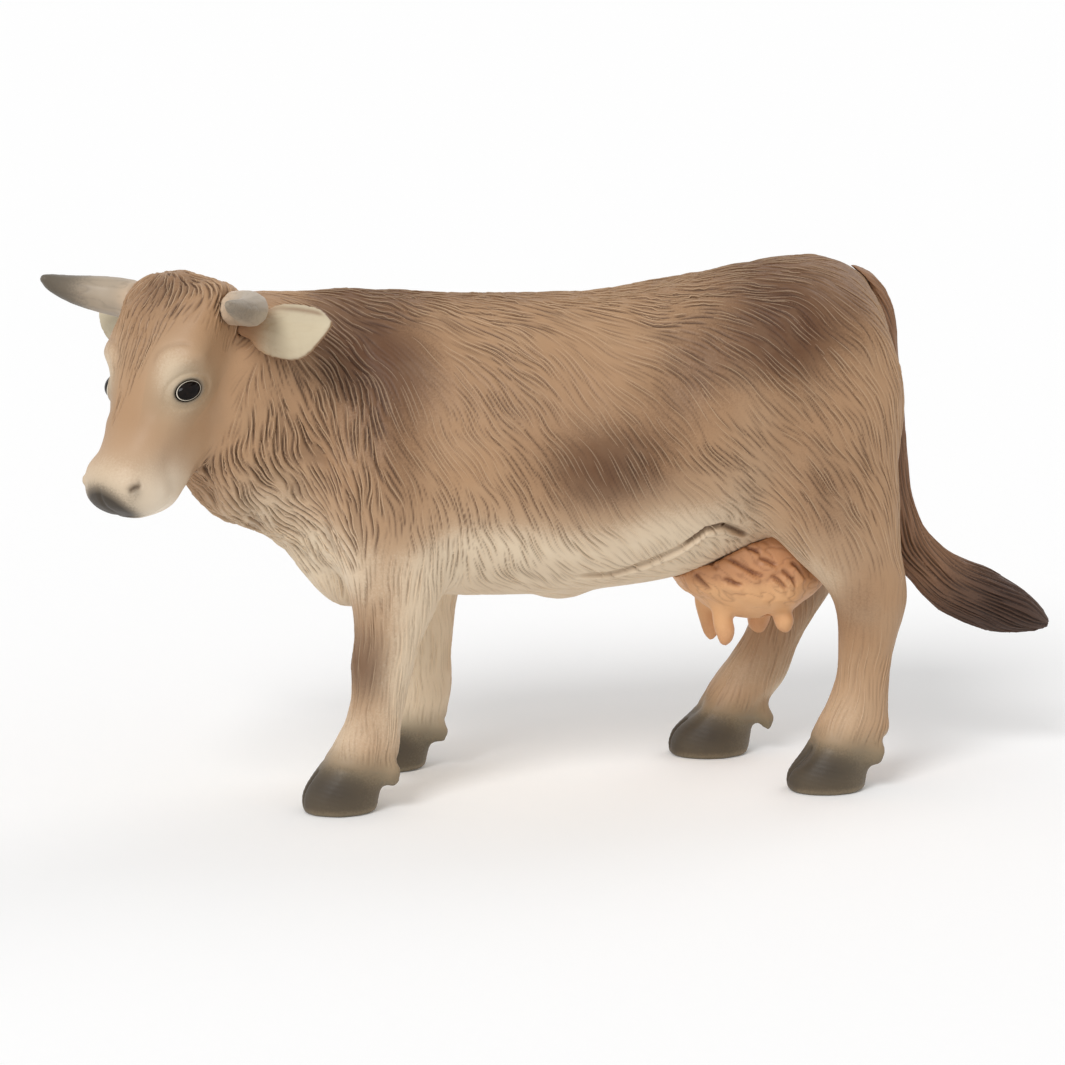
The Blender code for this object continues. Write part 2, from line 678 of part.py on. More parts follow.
def tail_mesh(name):
    """The tail down the rump and its switch, as ovals along one line."""
    rows = smooth_rows(TAIL_SHARES, SMALL_RINGS_PER_STATION)
    line = np.array([on_body((along, sway, up)) for along, up, sway, _, _ in rows])
    headings = np.gradient(line, axis=0)
    side = np.array((0, 1, 0))
    rings = []
    for place, heading, row in zip(line, headings, rows):
        back = np.cross(heading / np.linalg.norm(heading), side)
        half_width, half_thickness = row[3:] * SWITCH_WIDTH
        sizes = (half_width, half_thickness, half_thickness)
        rings.append(egg_ring(place, side, back, *sizes, points=SMALL_RING_POINTS))
    bm = bmesh.new()
    add_loft(bm, rings)
    mesh = bpy.data.meshes.new(name)
    bm.to_mesh(mesh)
    bm.free()
    return mesh


def make_legs(torso, clay, parts, cutters):
    for name, (_, side_sign, spring_share, _) in LEGS.items():
        leg = piece(name, clay.copy(), "hide", parts)
        boolean(leg, leg_parting(name, 0, cutters), "INTERSECT")
        boolean(leg, hoof_cleft(name, cutters), "DIFFERENCE")
        boolean(torso, leg_parting(name, SEAM_GAP, cutters), "DIFFERENCE")
        face = Vector((LEG_PARTING_SHARES[name][2] * BODY_LENGTH, side_sign * LEG_FACE_OFFSET, 0))
        face.z = spring_share * BACK_HEIGHT
        bond(name, leg, torso, face, (0, -side_sign, 0), LEG_PEG_SIZES, cutters)


def make_head(torso, clay, parts, cutters):
    head = piece("head_and_neck", clay.copy(), "hide", parts)
    boolean(head, neck_parting(0, cutters), "INTERSECT")
    boolean(torso, neck_parting(SEAM_GAP, cutters), "DIFFERENCE")
    centre, way = neck_face()
    bond("neck", head, torso, centre, -way, NECK_PEG_SIZES, cutters)
    return head


def make_horns_and_ears(head, grown, parts, cutters):
    for side_name, side_sign in (("left", 1), ("right", -1)):
        name = f"{side_name}_horn"
        horn = piece(name, horn_mesh(name, side_sign, cutters), "horn", parts)
        boolean(horn, grown, "DIFFERENCE")
        root, way = horn_bond_line(side_sign)
        bond(name, horn, head, root, way, HORN_PEG_SIZES, cutters)
        name = f"{side_name}_ear"
        ear = piece(name, ear_mesh(name, side_sign), "ear", parts)
        boolean(ear, grown, "DIFFERENCE")
        root = on_head(EAR_ROOT_SHARES, side_sign)
        axis, _, _ = ear_directions(side_sign)
        bond(name, ear, head, root, -axis, EAR_PEG_SIZES, cutters)


def make_udder(torso, grown, parts, cutters):
    udder = piece("udder", udder_mesh(cutters), "udder", parts)
    boolean(udder, grown, "DIFFERENCE")
    bond("udder", udder, torso, on_body(UDDER_PLACE_SHARES), (0, 0, 1), UDDER_PEG_SIZES, cutters)


def make_tail(torso, grown, parts, cutters):
    tail = piece("tail", tail_mesh("tail"), "tail", parts)
    boolean(tail, grown, "DIFFERENCE")
    along, up, sway, _, _ = TAIL_SHARES[2]
    way = (-1, 0, -TAIL_PEG_SLOPE_SHARE)
    bond("tail", tail, torso, on_body((along, sway, up)), way, TAIL_PEG_SIZES, cutters)


def centre_on_ground(collections):
    """Moves the whole figure so that the middle of its bounding box stands over the origin."""
    graph = bpy.context.evaluated_depsgraph_get()
    corners = []
    for obj in collections[0].objects:
        shown = obj.evaluated_get(graph)
        corners += [obj.matrix_world @ Vector(corner) for corner in shown.bound_box]
    corners = np.array(corners)
    low, high = corners.min(axis=0), corners.max(axis=0)
    figure = bpy.data.objects.new("figure", None)
    collections[0].objects.link(figure)
    figure.location = (-(low[0] + high[0]) / 2, -(low[1] + high[1]) / 2, -low[2])
    for collection in collections:
        for obj in collection.objects:
            if obj is not figure:
                obj.parent = figure


def main():
    clear_scene()
    parts = new_collection("toy_cow")
    cutters = new_collection("cutters")
    clay = body_clay(cutters)
    grown = grown_clay(clay, cutters)
    torso = piece("torso", clay.copy(), "hide", parts)
    make_legs(torso, clay, parts, cutters)
    head = make_head(torso, clay, parts, cutters)
    make_horns_and_ears(head, grown, parts, cutters)
    make_udder(torso, grown, parts, cutters)
    make_tail(torso, grown, parts, cutters)
    centre_on_ground((parts, cutters))


main()
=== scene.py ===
"""A toy cow in painted soft vinyl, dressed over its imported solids.

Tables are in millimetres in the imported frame: the cow faces -X, with its left side towards -Y.
"""

import math

import bmesh
import bpy
import numpy as np
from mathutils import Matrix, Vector
from mathutils.bvhtree import BVHTree
from mathutils.kdtree import KDTree


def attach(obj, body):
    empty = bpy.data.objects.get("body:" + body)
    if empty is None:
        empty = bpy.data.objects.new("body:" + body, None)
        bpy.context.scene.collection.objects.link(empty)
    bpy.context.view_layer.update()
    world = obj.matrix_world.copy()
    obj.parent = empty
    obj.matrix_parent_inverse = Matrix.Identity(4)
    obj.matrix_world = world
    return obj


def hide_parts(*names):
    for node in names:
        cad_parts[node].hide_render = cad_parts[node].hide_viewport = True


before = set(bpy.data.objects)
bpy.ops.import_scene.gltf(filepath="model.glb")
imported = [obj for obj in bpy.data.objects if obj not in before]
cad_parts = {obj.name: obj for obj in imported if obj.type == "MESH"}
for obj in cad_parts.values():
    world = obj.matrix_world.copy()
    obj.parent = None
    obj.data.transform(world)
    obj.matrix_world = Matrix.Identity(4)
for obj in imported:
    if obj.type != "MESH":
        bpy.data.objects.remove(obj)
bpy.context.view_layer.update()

MM = 0.001
MIDDLE_Y = 4.77
BODY = "root"

# Fineness of the sculpted surfaces
SKIN_VOXEL = 0.42
SEAM_CLOSING = 0.45
SMALL_VOXEL = 0.22
TORSO_SPLIT_X = 2.0

HIDE_NODES = [
    "torso", "head_and_neck", "front_left_leg", "front_right_leg", "rear_left_leg", "rear_right_leg"
]

# The head's frame: where its poll is, and the ways down the face, to its left and out of the forehead
POLL = np.array((-52.272, -3.209, 72.520))
HEAD_AXES = np.array(((-0.3178, -0.3275, -0.8898), (0.6419, -0.7650, 0.0523), (-0.6978, -0.5545, 0.4534)))


# Points and surfaces


def head_point(down, left, out):
    """A place given in the head's frame, as a packed place."""
    return POLL + np.array((down, left, out)) @ HEAD_AXES


def in_head(points):
    """Packed places in the head's frame: down the face, left and out of the forehead."""
    return (points - POLL) @ HEAD_AXES.T


def unit(vectors):
    return vectors / np.maximum(np.linalg.norm(vectors, axis=-1, keepdims=True), 1e-9)


def step(low, high, values):
    """A smooth rise from 0 at low to 1 at high."""
    t = np.clip((values - low) / (high - low), 0, 1)
    return t * t * (3 - 2 * t)


def vertex_normals(points, faces):
    a, b, c, d = (points[faces[:, k]] for k in range(4))
    normal = np.cross(c - a, d - b)
    total = np.empty_like(points)
    for axis in range(3):
        weight = np.repeat(normal[:, axis], 4)
        total[:, axis] = np.bincount(faces.ravel(), weight, len(points))
    return unit(total)


def face_edges(faces):
    """Each edge of a closed quad surface once."""
    pairs = np.concatenate([faces[:, [k, (k + 1) % 4]] for k in range(4)])
    return pairs[pairs[:, 0] < pairs[:, 1]]


def relaxed(points, edges, passes, weight=1.0, rate=0.5):
    """The points after so many passes towards the mean of their neighbours."""
    count = len(points)
    near = np.bincount(edges.ravel(), minlength=count)[:, None]
    weight = np.broadcast_to(np.asarray(weight, float).reshape(-1, 1), (count, 1)) * rate
    for _ in range(passes):
        total = np.empty_like(points)
        for axis in range(points.shape[1]):
            total[:, axis] = np.bincount(edges[:, 0], points[edges[:, 1], axis], count)
            total[:, axis] += np.bincount(edges[:, 1], points[edges[:, 0], axis], count)
        points = points + (total / np.maximum(near, 1) - points) * weight
    return points


def largest_island(count, faces):
    """True for each point of the largest connected piece of the surface."""
    label = np.arange(count)
    while True:
        low = label[faces].min(axis=1)
        new = label.copy()
        for k in range(4):
            np.minimum.at(new, faces[:, k], low)
        new = new[new]
        if (new == label).all():
            break
        label = new
    return label == np.bincount(label).argmax()


def mesh_arrays(mesh):
    """The points (mm) and the quads of a mesh that has only quads."""
    points = np.empty(len(mesh.vertices) * 3)
    mesh.vertices.foreach_get("co", points)
    corners = np.empty(len(mesh.loops), np.int32)
    mesh.loops.foreach_get("vertex_index", corners)
    return points.reshape(-1, 3) / MM, corners.reshape(-1, 4)


def new_mesh(name, points, faces):
    mesh = bpy.data.meshes.new(name)
    mesh.vertices.add(len(points))
    mesh.vertices.foreach_set("co", (points * MM).astype(np.float32).ravel())
    sizes = (faces >= 0).sum(axis=1)
    starts = np.concatenate(([0], np.cumsum(sizes)[:-1])).astype(np.int32)
    mesh.loops.add(int(sizes.sum()))
    mesh.loops.foreach_set("vertex_index", faces[faces >= 0].astype(np.int32))
    mesh.polygons.add(len(faces))
    mesh.polygons.foreach_set("loop_start", starts)
    mesh.update(calc_edges=True)
    mesh.validate()
    mesh.shade_smooth()
    return mesh


def through_modifier(mesh, kind, **settings):
    """The mesh after one modifier."""
    obj = bpy.data.objects.new("work", mesh)
    bpy.context.scene.collection.objects.link(obj)
    modifier = obj.modifiers.new(kind, kind)
    for key, value in settings.items():
        setattr(modifier, key, value)
    made = bpy.data.meshes.new_from_object(obj.evaluated_get(bpy.context.evaluated_depsgraph_get()))
    bpy.data.objects.remove(obj)
    return made


def fused_skin(nodes, grow, voxel):
    """One closed skin over copies of the CAD nodes, moved out by grow."""
    bm = bmesh.new()
    for node in nodes:
        bm.from_mesh(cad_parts[node].data)
    bmesh.ops.remove_doubles(bm, verts=bm.verts, dist=0.01 * MM)
    bm.normal_update()
    for vert in bm.verts:
        vert.co += vert.normal * grow * MM
    mesh = bpy.data.meshes.new("solids")
    bm.to_mesh(mesh)
    bm.free()
    made = through_modifier(mesh, "REMESH", mode="VOXEL", voxel_size=voxel * MM)
    points, faces = mesh_arrays(made)
    kept = largest_island(len(points), faces)
    places = np.cumsum(kept) - 1
    return points[kept], places[faces[kept[faces[:, 0]]]]


def finer(points, faces):
    """The surface with each face in four."""
    return mesh_arrays(through_modifier(
        new_mesh("coarse", points, faces), "SUBSURF", levels=1, render_levels=1
    ))


# Noise and hair

NOISE_TABLE = np.random.default_rng(11).uniform(-1, 1, 8192)


def lattice_noise(points, cell, seed=0):
    """Smooth noise between -1 and 1 with so large a cell."""
    scaled = points / cell
    base = np.floor(scaled).astype(np.int64)
    part = scaled - base
    part = part * part * (3 - 2 * part)
    total = np.zeros(len(points))
    for corner in range(8):
        bits = np.array([(corner >> axis) & 1 for axis in range(3)])
        key = (base + bits) @ np.array((73856093, 19349663, 83492791)) + seed * 7919
        weight = np.prod(np.where(bits == 1, part, 1 - part), axis=1)
        total += weight * NOISE_TABLE[(key ^ (key >> 7)) & 8191]
    return total


def strand_noise(points, ways, cell, reach, seed, samples=13):
    """Noise drawn out along the hair, with a spread of 1."""
    total = np.zeros(len(points))
    for k in range(samples):
        t = 2 * k / (samples - 1) - 1
        total += math.cos(t * math.pi / 2) ** 2 * lattice_noise(points + ways * (t * reach), cell, seed)
    return total / max(total.std(), 1e-6)


def turned(ways, normals, angles):
    """The ways turned in the surface by so many radians."""
    return ways * np.cos(angles)[:, None] + np.cross(normals, ways) * np.sin(angles)[:, None]


def flattened(ways, normals):
    """The ways laid onto the surface."""
    return unit(ways - normals * (ways * normals).sum(axis=1, keepdims=True))


def blended(points, rows, reach):
    """Values of a table of places, blended over the points. Each row has a place, then its values."""
    rows = np.array(rows, float)
    size = points.shape[1]
    total = np.zeros((len(points), rows.shape[1] - size))
    weights = np.full(len(points), 1e-12)
    for row in rows:
        weight = np.exp(-((points - row[:size]) ** 2).sum(axis=1) / reach**2)
        total += weight[:, None] * row[size:]
        weights += weight
    return total / weights[:, None]


def patches(points, rows):
    """The sum of soft oval patches. Each row has a place, its radii and its strength."""
    size = points.shape[1]
    total = np.zeros(len(points))
    for row in np.array(rows, float):
        total += row[2 * size] * np.exp(-(((points - row[:size]) / row[size : 2 * size]) ** 2).sum(axis=1))
    return total


# The lie of the hair in side view: x, z, and its angle from straight back, with 90 straight down
HAIR_LIE = [
    (-20.6, 72.0, 30), (-11.0, 70.6, 34), (-0.3, 71.3, 32), (9.2, 72.7, 30), (18.6, 73.3, 28),
    (29.4, 74.7, 24), (37.5, 74.0, 50), (41.0, 66.6, 76), (-18.0, 64.0, 54), (-8.4, 64.0, 48),
    (2.4, 64.0, 46), (13.2, 64.0, 44), (24.0, 64.0, 44), (34.9, 64.0, 50), (-19.2, 54.4, 68),
    (-8.4, 54.4, 58), (2.4, 54.4, 54), (13.2, 54.4, 50), (24.0, 54.4, 48), (34.9, 54.4, 54),
    (41.0, 53.0, 74), (-19.2, 43.5, 76), (-8.4, 45.0, 64), (2.4, 45.0, 60), (13.2, 45.0, 58),
    (24.0, 45.0, 50), (34.9, 45.0, 52), (40.0, 42.0, 72), (-16.5, 35.4, 80), (-5.7, 36.7, 68),
    (7.8, 36.0, 44), (26.7, 35.4, 54), (37.5, 35.4, 64), (-27.3, 63.9, 58), (-26.0, 53.0, 68),
    (-24.6, 43.5, 80), (-27.3, 33.0, 88), (-34.0, 66.6, 56), (-38.1, 59.8, 74), (-36.8, 51.6, 74),
    (-42.2, 55.4, 80), (-46.2, 60.0, 84), (-46.2, 48.6, 66), (-42.2, 43.5, 60), (-36.8, 40.8, 66),
    (-32.7, 35.4, 76), (-38.0, 37.0, 58), (-34.0, 72.0, 40), (-43.0, 71.0, 50), (-31.0, 24.0, 92),
    (-22.0, 20.0, 90), (-31.0, 10.0, 96), (-22.0, 9.0, 90), (38.0, 28.0, 84), (30.0, 24.0, 104),
    (41.0, 18.0, 88), (26.0, 14.0, 104), (38.0, 9.0, 96),
]

# Depth of the engraved hair in side view: x, z, depth of the strands, depth of the locks
HAIR_DEPTH = [
    (-45.5, 62.0, 0.20, 0.02), (-45.5, 57.5, 0.24, 0.03), (-44.0, 53.0, 0.42, 0.20),
    (-45.0, 46.0, 0.54, 0.36), (-38.0, 48.0, 0.50, 0.34),
    (-36.0, 38.0, 0.46, 0.34), (-30.0, 57.0, 0.32, 0.16),
    (-29.0, 45.0, 0.34, 0.18), (-36.0, 67.0, 0.22, 0.10),
    (-24.0, 72.0, 0.34, 0.16), (-10.0, 70.5, 0.36, 0.16), (2.0, 71.5, 0.36, 0.16), (14.0, 72.5, 0.34, 0.14),
    (28.0, 74.0, 0.30, 0.12), (41.0, 68.0, 0.22, 0.08), (-22.0, 60.0, 0.13, 0.02), (-21.0, 50.0, 0.16, 0.03),
    (-12.0, 62.0, 0.24, 0.05), (-2.0, 56.0, 0.17, 0.02), (2.0, 63.0, 0.20, 0.03), (13.0, 56.0, 0.24, 0.05),
    (3.0, 47.0, 0.24, 0.05), (-8.0, 45.0, 0.24, 0.05), (-17.0, 44.0, 0.24, 0.07), (24.0, 60.0, 0.20, 0.02),
    (24.0, 48.0, 0.22, 0.03), (34.0, 62.0, 0.18, 0.02), (34.0, 46.0, 0.20, 0.03), (41.0, 52.0, 0.20, 0.04),
    (-22.0, 38.0, 0.15, 0.02), (-12.0, 37.0, 0.18, 0.03), (0.0, 38.0, 0.20, 0.03), (10.0, 37.0, 0.14, 0.03),
    (0.0, 31.0, 0.10, 0.02), (28.0, 34.0, 0.16, 0.03), (-31.0, 30.0, 0.18, 0.02), (-22.0, 28.0, 0.13, 0.02),
    (-30.0, 14.0, 0.15, 0.02), (-22.0, 14.0, 0.13, 0.02), (38.0, 26.0, 0.11, 0.02), (28.0, 22.0, 0.17, 0.03),
    (38.0, 13.0, 0.15, 0.02), (26.0, 13.0, 0.15, 0.02),
]

# Painted patches in side view: x, z, their radii and strength
BROWN_PATCHES = [
    (-26.5, 62.5, 7.5, 9.0, 0.80), (-33.0, 66.0, 6.0, 6.0, 0.45),
    (-24.5, 49.0, 5.5, 9.0, 0.42), (-44.0, 64.0, 6.0, 8.0, 0.20),
    (3.4, 47.2, 10.2, 6.6, 0.88), (12.0, 55.0, 8.0, 6.0, 0.24),
    (16.0, 63.0, 6.5, 6.5, 0.38), (20.0, 58.0, 10.0, 9.0, 0.18),
    (29.5, 66.5, 8.5, 7.5, 1.00), (38.0, 58.0, 6.0, 9.0, 0.12),
    (32.0, 49.0, 8.0, 9.0, 0.28), (35.0, 40.0, 7.0, 7.0, 0.34),
    (-8.0, 71.5, 20.0, 2.8, 1.05), (22.0, 75.0, 20.0, 3.4, 0.42),
    (41.0, 70.0, 5.0, 8.0, 0.42), (-35.0, 52.0, 6.0, 8.0, 0.25),
    (-29.0, 20.5, 4.5, 6.0, 0.78), (-30.0, 30.0, 5.0, 6.0, 0.20),
    (-9.0, 57.0, 10.0, 7.0, 0.20), (39.0, 26.0, 5.0, 8.0, 0.46),
    (25.0, 25.0, 5.0, 6.0, 0.50), (-20.0, 62.0, 6.0, 6.0, 0.15),
    (-4.0, 62.0, 12.0, 10.0, 0.10), (28.0, 62.0, 5.0, 4.0, 0.20),
]
CREAM_PATCHES = [
    (-42.0, 42.5, 7.0, 5.0, 0.52), (-34.0, 34.0, 6.0, 6.0, 0.80), (-14.0, 34.0, 9.0, 6.0, 0.78),
    (0.0, 33.0, 16.0, 7.0, 0.66), (14.0, 37.0, 8.0, 6.0, 0.60), (22.0, 42.0, 5.0, 6.0, 0.25),
    (-33.0, 11.0, 6.0, 5.5, 0.55), (-21.5, 18.0, 5.0, 13.0, 0.95), (27.0, 13.0, 6.0, 5.0, 0.40),
    (38.0, 11.0, 6.0, 6.0, 0.32), (-36.0, 22.0, 3.0, 14.0, 0.25), (38.0, 34.0, 6.0, 6.0, 0.10),
    (24.0, 52.0, 3.0, 8.0, 0.10),
]

# Flesh and bone that the solids leave out, on both sides: x, distance from the mid-plane, z, radius, rise
BODY_SWELLS = [
    (-30.0, 17.0, 60.0, 7.0, 0.5), (-28.0, 17.0, 47.0, 7.0, 0.4), (-22.0, 17.5, 38.0, 4.0, 0.5),
    (17.0, 14.0, 69.0, 4.0, 0.7), (33.0, 13.0, 70.0, 5.0, 0.5), (13.0, 17.5, 58.0, 5.5, -0.7),
    (20.0, 17.5, 42.0, 6.0, 0.4), (-19.5, 17.0, 52.0, 4.5, -0.3), (-38.5, 13.0, 57.0, 5.0, -0.4),
    (37.0, 15.0, 30.0, 3.5, -0.2), (41.0, 14.0, 27.0, 3.0, 0.3), (-31.0, 12.0, 21.0, 3.0, 0.3),
    (43.0, 12.5, 46.5, 6.5, -1.2), (-47.5, 1.5, 39.5, 3.0, 0.3),
]

# Shaping of one side only: a place, radius and rise
LEG_SWELLS = [
    (-34.3, -7.0, 8.9, 3.0, -0.45), (-24.4, 16.5, 8.9, 3.0, -0.45),
    (31.9, -7.0, 6.3, 3.3, -1.25), (21.4, 16.5, 8.0, 3.4, -1.5),
    (-24.8, -7.0, 7.8, 2.2, 0.6), (-14.6, 16.5, 7.4, 2.2, 0.9),
    (43.4, -7.0, 8.4, 2.4, 1.1), (43.9, -7.0, 4.2, 1.9, -1.1),
    (30.0, -7.0, 2.0, 1.5, 0.3), (-49.6, -2.5, 43.6, 2.8, -1.0), (-39.0, 1.8, 35.5, 3.4, -1.0),
]


# Sculpting


LINE_PITCH = 0.8


class Clay:
    """The points (mm), quads and normals of one surface while it is sculpted."""

    def __init__(self, points, faces):
        self.points = points
        self.faces = faces
        # How much dark paint each point takes in the grooves cut by line(), partly painted shade
        self.wash_and_shade = np.zeros(len(points))
        self.refresh()

    def refresh(self):
        self.normals = vertex_normals(self.points, self.faces)

    def near(self, centre, reach):
        return np.where((np.abs(self.points - centre) < reach).all(axis=1))[0]

    def push(self, rows, amounts, ways=None):
        ways = self.normals[rows] if ways is None else ways
        self.points[rows] += ways * amounts[:, None]

    def swell(self, centre, radius, rise):
        """A round swelling, or a hollow where the rise is negative."""
        rows = self.near(np.array(centre), 2.6 * radius)
        far = np.linalg.norm(self.points[rows] - centre, axis=1) / radius
        self.push(rows, rise * np.exp(-far * far * 1.4))

    def line(self, path, width, rise, ends=0.2, wash_and_shade=0.0):
        """A ridge along a line on the surface, or a groove where the rise is negative, with dark paint in it
        that is partly painted shade.
        """
        path = self.laid(path)
        low, high = path.min(axis=0) - 3 * width, path.max(axis=0) + 3 * width
        rows = np.where(((self.points > low) & (self.points < high)).all(axis=1))[0]
        lengths = np.linalg.norm(np.diff(path, axis=0), axis=1)
        total, before = lengths.sum(), 0
        best = np.full(len(rows), 1e9)
        along = np.zeros(len(rows))
        for start, end, length in zip(path, path[1:], lengths):
            way = (end - start) / length
            t = np.clip((self.points[rows] - start) @ way, 0, length)
            far = np.linalg.norm(self.points[rows] - start - t[:, None] * way, axis=1)
            closer = far < best
            best[closer] = far[closer]
            along[closer] = (before + t[closer]) / total
            before += length
        fade = 1.0
        if ends:
            fade = step(0, ends, along) * step(0, ends, 1 - along)
        amount = np.exp(-((best / width) ** 2)) * fade
        self.push(rows, rise * amount)
        self.wash_and_shade[rows] = np.maximum(self.wash_and_shade[rows], wash_and_shade * amount)

    def laid(self, path):
        """Places close together along a path, each laid on the surface."""
        path = np.array([self.points[self.nearest(place)] for place in path])
        ends = np.concatenate(([0], np.cumsum(np.linalg.norm(np.diff(path, axis=0), axis=1))))
        spots = np.linspace(0, ends[-1], max(3, int(ends[-1] / LINE_PITCH)))
        places = np.stack([np.interp(spots, ends, path[:, axis]) for axis in range(3)], axis=1)
        boxed = (self.points > path.min(axis=0) - 2) & (self.points < path.max(axis=0) + 2)
        rows = np.where(boxed.all(axis=1))[0]
        for place in places:
            row = rows[((self.points[rows] - place) ** 2).sum(axis=1).argmin()]
            place -= self.normals[row] * ((place - self.points[row]) @ self.normals[row])
        return places

    def nearest(self, place):
        return int(((self.points - place) ** 2).sum(axis=1).argmin())


def both_sides(x, out, z):
    """A place at a distance from the mid-plane, on the near and the far side."""
    return [np.array((x, MIDDLE_Y - out, z)), np.array((x, MIDDLE_Y + out, z))]


EYE_PLACE = (15.0, 8.0, 0.86)

# How far each lens stands out from the ground around its eye
LEFT_LENS_LEVEL = 0.62
RIGHT_LENS_LEVEL = 1.0

EYE_OUT = (0.07, 0.89, 0.45)
EYE_ALONG = (-0.687, 0.272, -0.673)
EYE_HALF = (1.86, 1.28)


def eye_frame(side):
    """An eye's place, the ways along its opening, across it and out of it."""
    mirror = np.array((1, side, 1))
    out = unit(np.array(EYE_OUT) * mirror) @ HEAD_AXES
    along = np.array(EYE_ALONG) * mirror @ HEAD_AXES
    along = unit(along - out * (along @ out))
    across = np.cross(out, along)
    return head_point(*(np.array(EYE_PLACE) * mirror)), along, across, out


def eye_reach(points, side, centre=None):
    """How far each point is from an eye's middle, with 1 at the edge of its opening, and its depth."""
    place, along, across, out = eye_frame(side)
    offset = points - (place if centre is None else centre)
    return np.hypot(offset @ along / EYE_HALF[0], offset @ across / EYE_HALF[1]), offset @ out


def sculpt_eye(clay, side):
    """Lids around an opening that is sunk for the eye. Gives the middle of the lens."""
    place, _, _, out = eye_frame(side)
    rows = clay.near(place, 9)
    reach, depth = eye_reach(clay.points[rows], side)
    level = depth[(reach > 1.6) & (reach < 2.4)].mean()
    flat = np.exp(-((reach / 2.4) ** 4))
    clay.points[rows] += out * ((level + 0.45 - 0.10 * reach**2 - depth) * flat * 0.85)[:, None]
    clay.refresh()
    reach, depth = eye_reach(clay.points[rows], side)
    lid = 0.26 * np.exp(-(((reach - 1.24) / 0.20) ** 2)) - 0.16 * np.exp(-(((reach - 1.75) / 0.22) ** 2))
    clay.points[rows] += out * (lid - 0.95 * (1 - step(0.75, 1.10, reach)))[:, None]
    clay.refresh()
    return place + out * (level + (LEFT_LENS_LEVEL if side > 0 else RIGHT_LENS_LEVEL))


def sculpt_face(clay):
    """Brow, cheek, nose, nostrils and mouth."""
    for side in (-1, 1):
        def spot(down, left, out):
            return head_point(down, side * left, out)

        clay.swell(spot(10.5, 5.2, 3.0), 3.2, 0.55)
        clay.swell(spot(11.2, 8.0, 1.2), 2.5, 0.85)
        clay.swell(spot(18.2, 5.4, 2.0), 2.2, -0.40)
        clay.swell(spot(-0.9, 4.0, 1.6), 4.6, -0.65)
        clay.swell(spot(20.5, 5.4, -1.5), 3.2, 0.35)
        clay.swell(spot(20.0, 5.5, -8.5), 3.8, 0.45)
        clay.swell(spot(25.0, 4.6, -2.6), 2.4, -0.25)
        clay.swell(spot(29.0, 4.8, -2.4), 2.4, 0.25)
        clay.swell(spot(31.0, 3.4, -5.0), 2.6, -0.50)
        clay.swell(spot(27.0, 3.6, 3.2), 2.0, 0.35)
        # The crease over the eye, with a little dark paint in it as painted shade
        clay.line([
            spot(13.2, 3.1, 3.9), spot(11.6, 3.5, 4.0), spot(10.3, 4.7, 3.8), spot(9.6, 6.4, 3.2),
            spot(9.4, 7.8, 2.1)
        ], 0.34, -0.16, 0.2, 0.14)
        clay.line(
            [spot(13.9, 3.9, 3.7), spot(12.4, 4.3, 3.9), spot(11.2, 5.4, 3.6), spot(10.5, 6.8, 3.0)], 0.5,
            0.16
        )
        clay.refresh()
        clay.line(
            [spot(29.9, 3.4, 3.2), spot(29.2, 3.8, 3.3), spot(28.5, 4.4, 2.6), spot(28.3, 4.9, 2.0)], 0.40,
            0.34, 0.25
        )
        clay.line(
            [spot(30.2, 4.0, 2.6), spot(29.6, 4.3, 2.6), spot(29.0, 4.8, 2.2), spot(28.8, 5.2, 1.6)], 0.32,
            -0.55, 0.25, 0.6
        )
        clay.line(
            [spot(32.0, 0.0, -1.4), spot(31.8, 2.4, -1.8), spot(30.6, 4.4, -3.0), spot(28.0, 5.0, -4.8)],
            0.36, -0.26, 0.15, 0.15
        )
        clay.refresh()
    clay.swell(head_point(17.2, -5.6, 3.0), 2.8, -0.60)
    clay.line([head_point(29.0, 0, 5.0), head_point(31.5, 0, 2.4), head_point(32.6, 0, -0.6)], 0.4, -0.16)


def sculpt_body(clay):
    for x, out, z, radius, rise in BODY_SWELLS:
        for centre in both_sides(x, out, z):
            clay.swell(centre, radius, rise)
    for x, y, z, radius, rise in LEG_SWELLS:
        clay.swell((x, y, z), radius, rise)
    clay.refresh()


FEET = {
    "front_left_leg": (-31.9, -7.0),
    "front_right_leg": (-22.0, 16.5),
    "rear_left_leg": (36.4, -7.0),
    "rear_right_leg": (24.6, 16.5),
}


def hoof_top(points, x):
    """The height of the edge between hair and horn, higher at the toe."""
    return 6.9 - 0.22 * (points[:, 0] - x)


def sculpt_hooves(clay):
    for x, y in FEET.values():
        rows = np.where((np.abs(clay.points - (x, y, 6)) < (11, 8, 9)).all(axis=1))[0]
        near = clay.points[rows]
        height = near[:, 2] - hoof_top(near, x)
        edge = 0.05 * np.exp(-(((height - 0.5) / 0.8) ** 2)) - 0.08 * np.exp(-(((height + 0.5) / 0.4) ** 2))
        rings = 0.012 * np.sin(height * 9.0) * step(-0.8, -2.2, height)
        clay.push(rows, (edge + rings) * step(0.2, 1.4, near[:, 2]))
        clay.line(
            [(x - 4.4, y, 7.2), (x - 5.6, y, 4.6), (x - 6.6, y, 2.0), (x - 6.9, y, 0.2)], 0.40, -0.50, 0.12,
            0.8
        )
    clay.refresh()


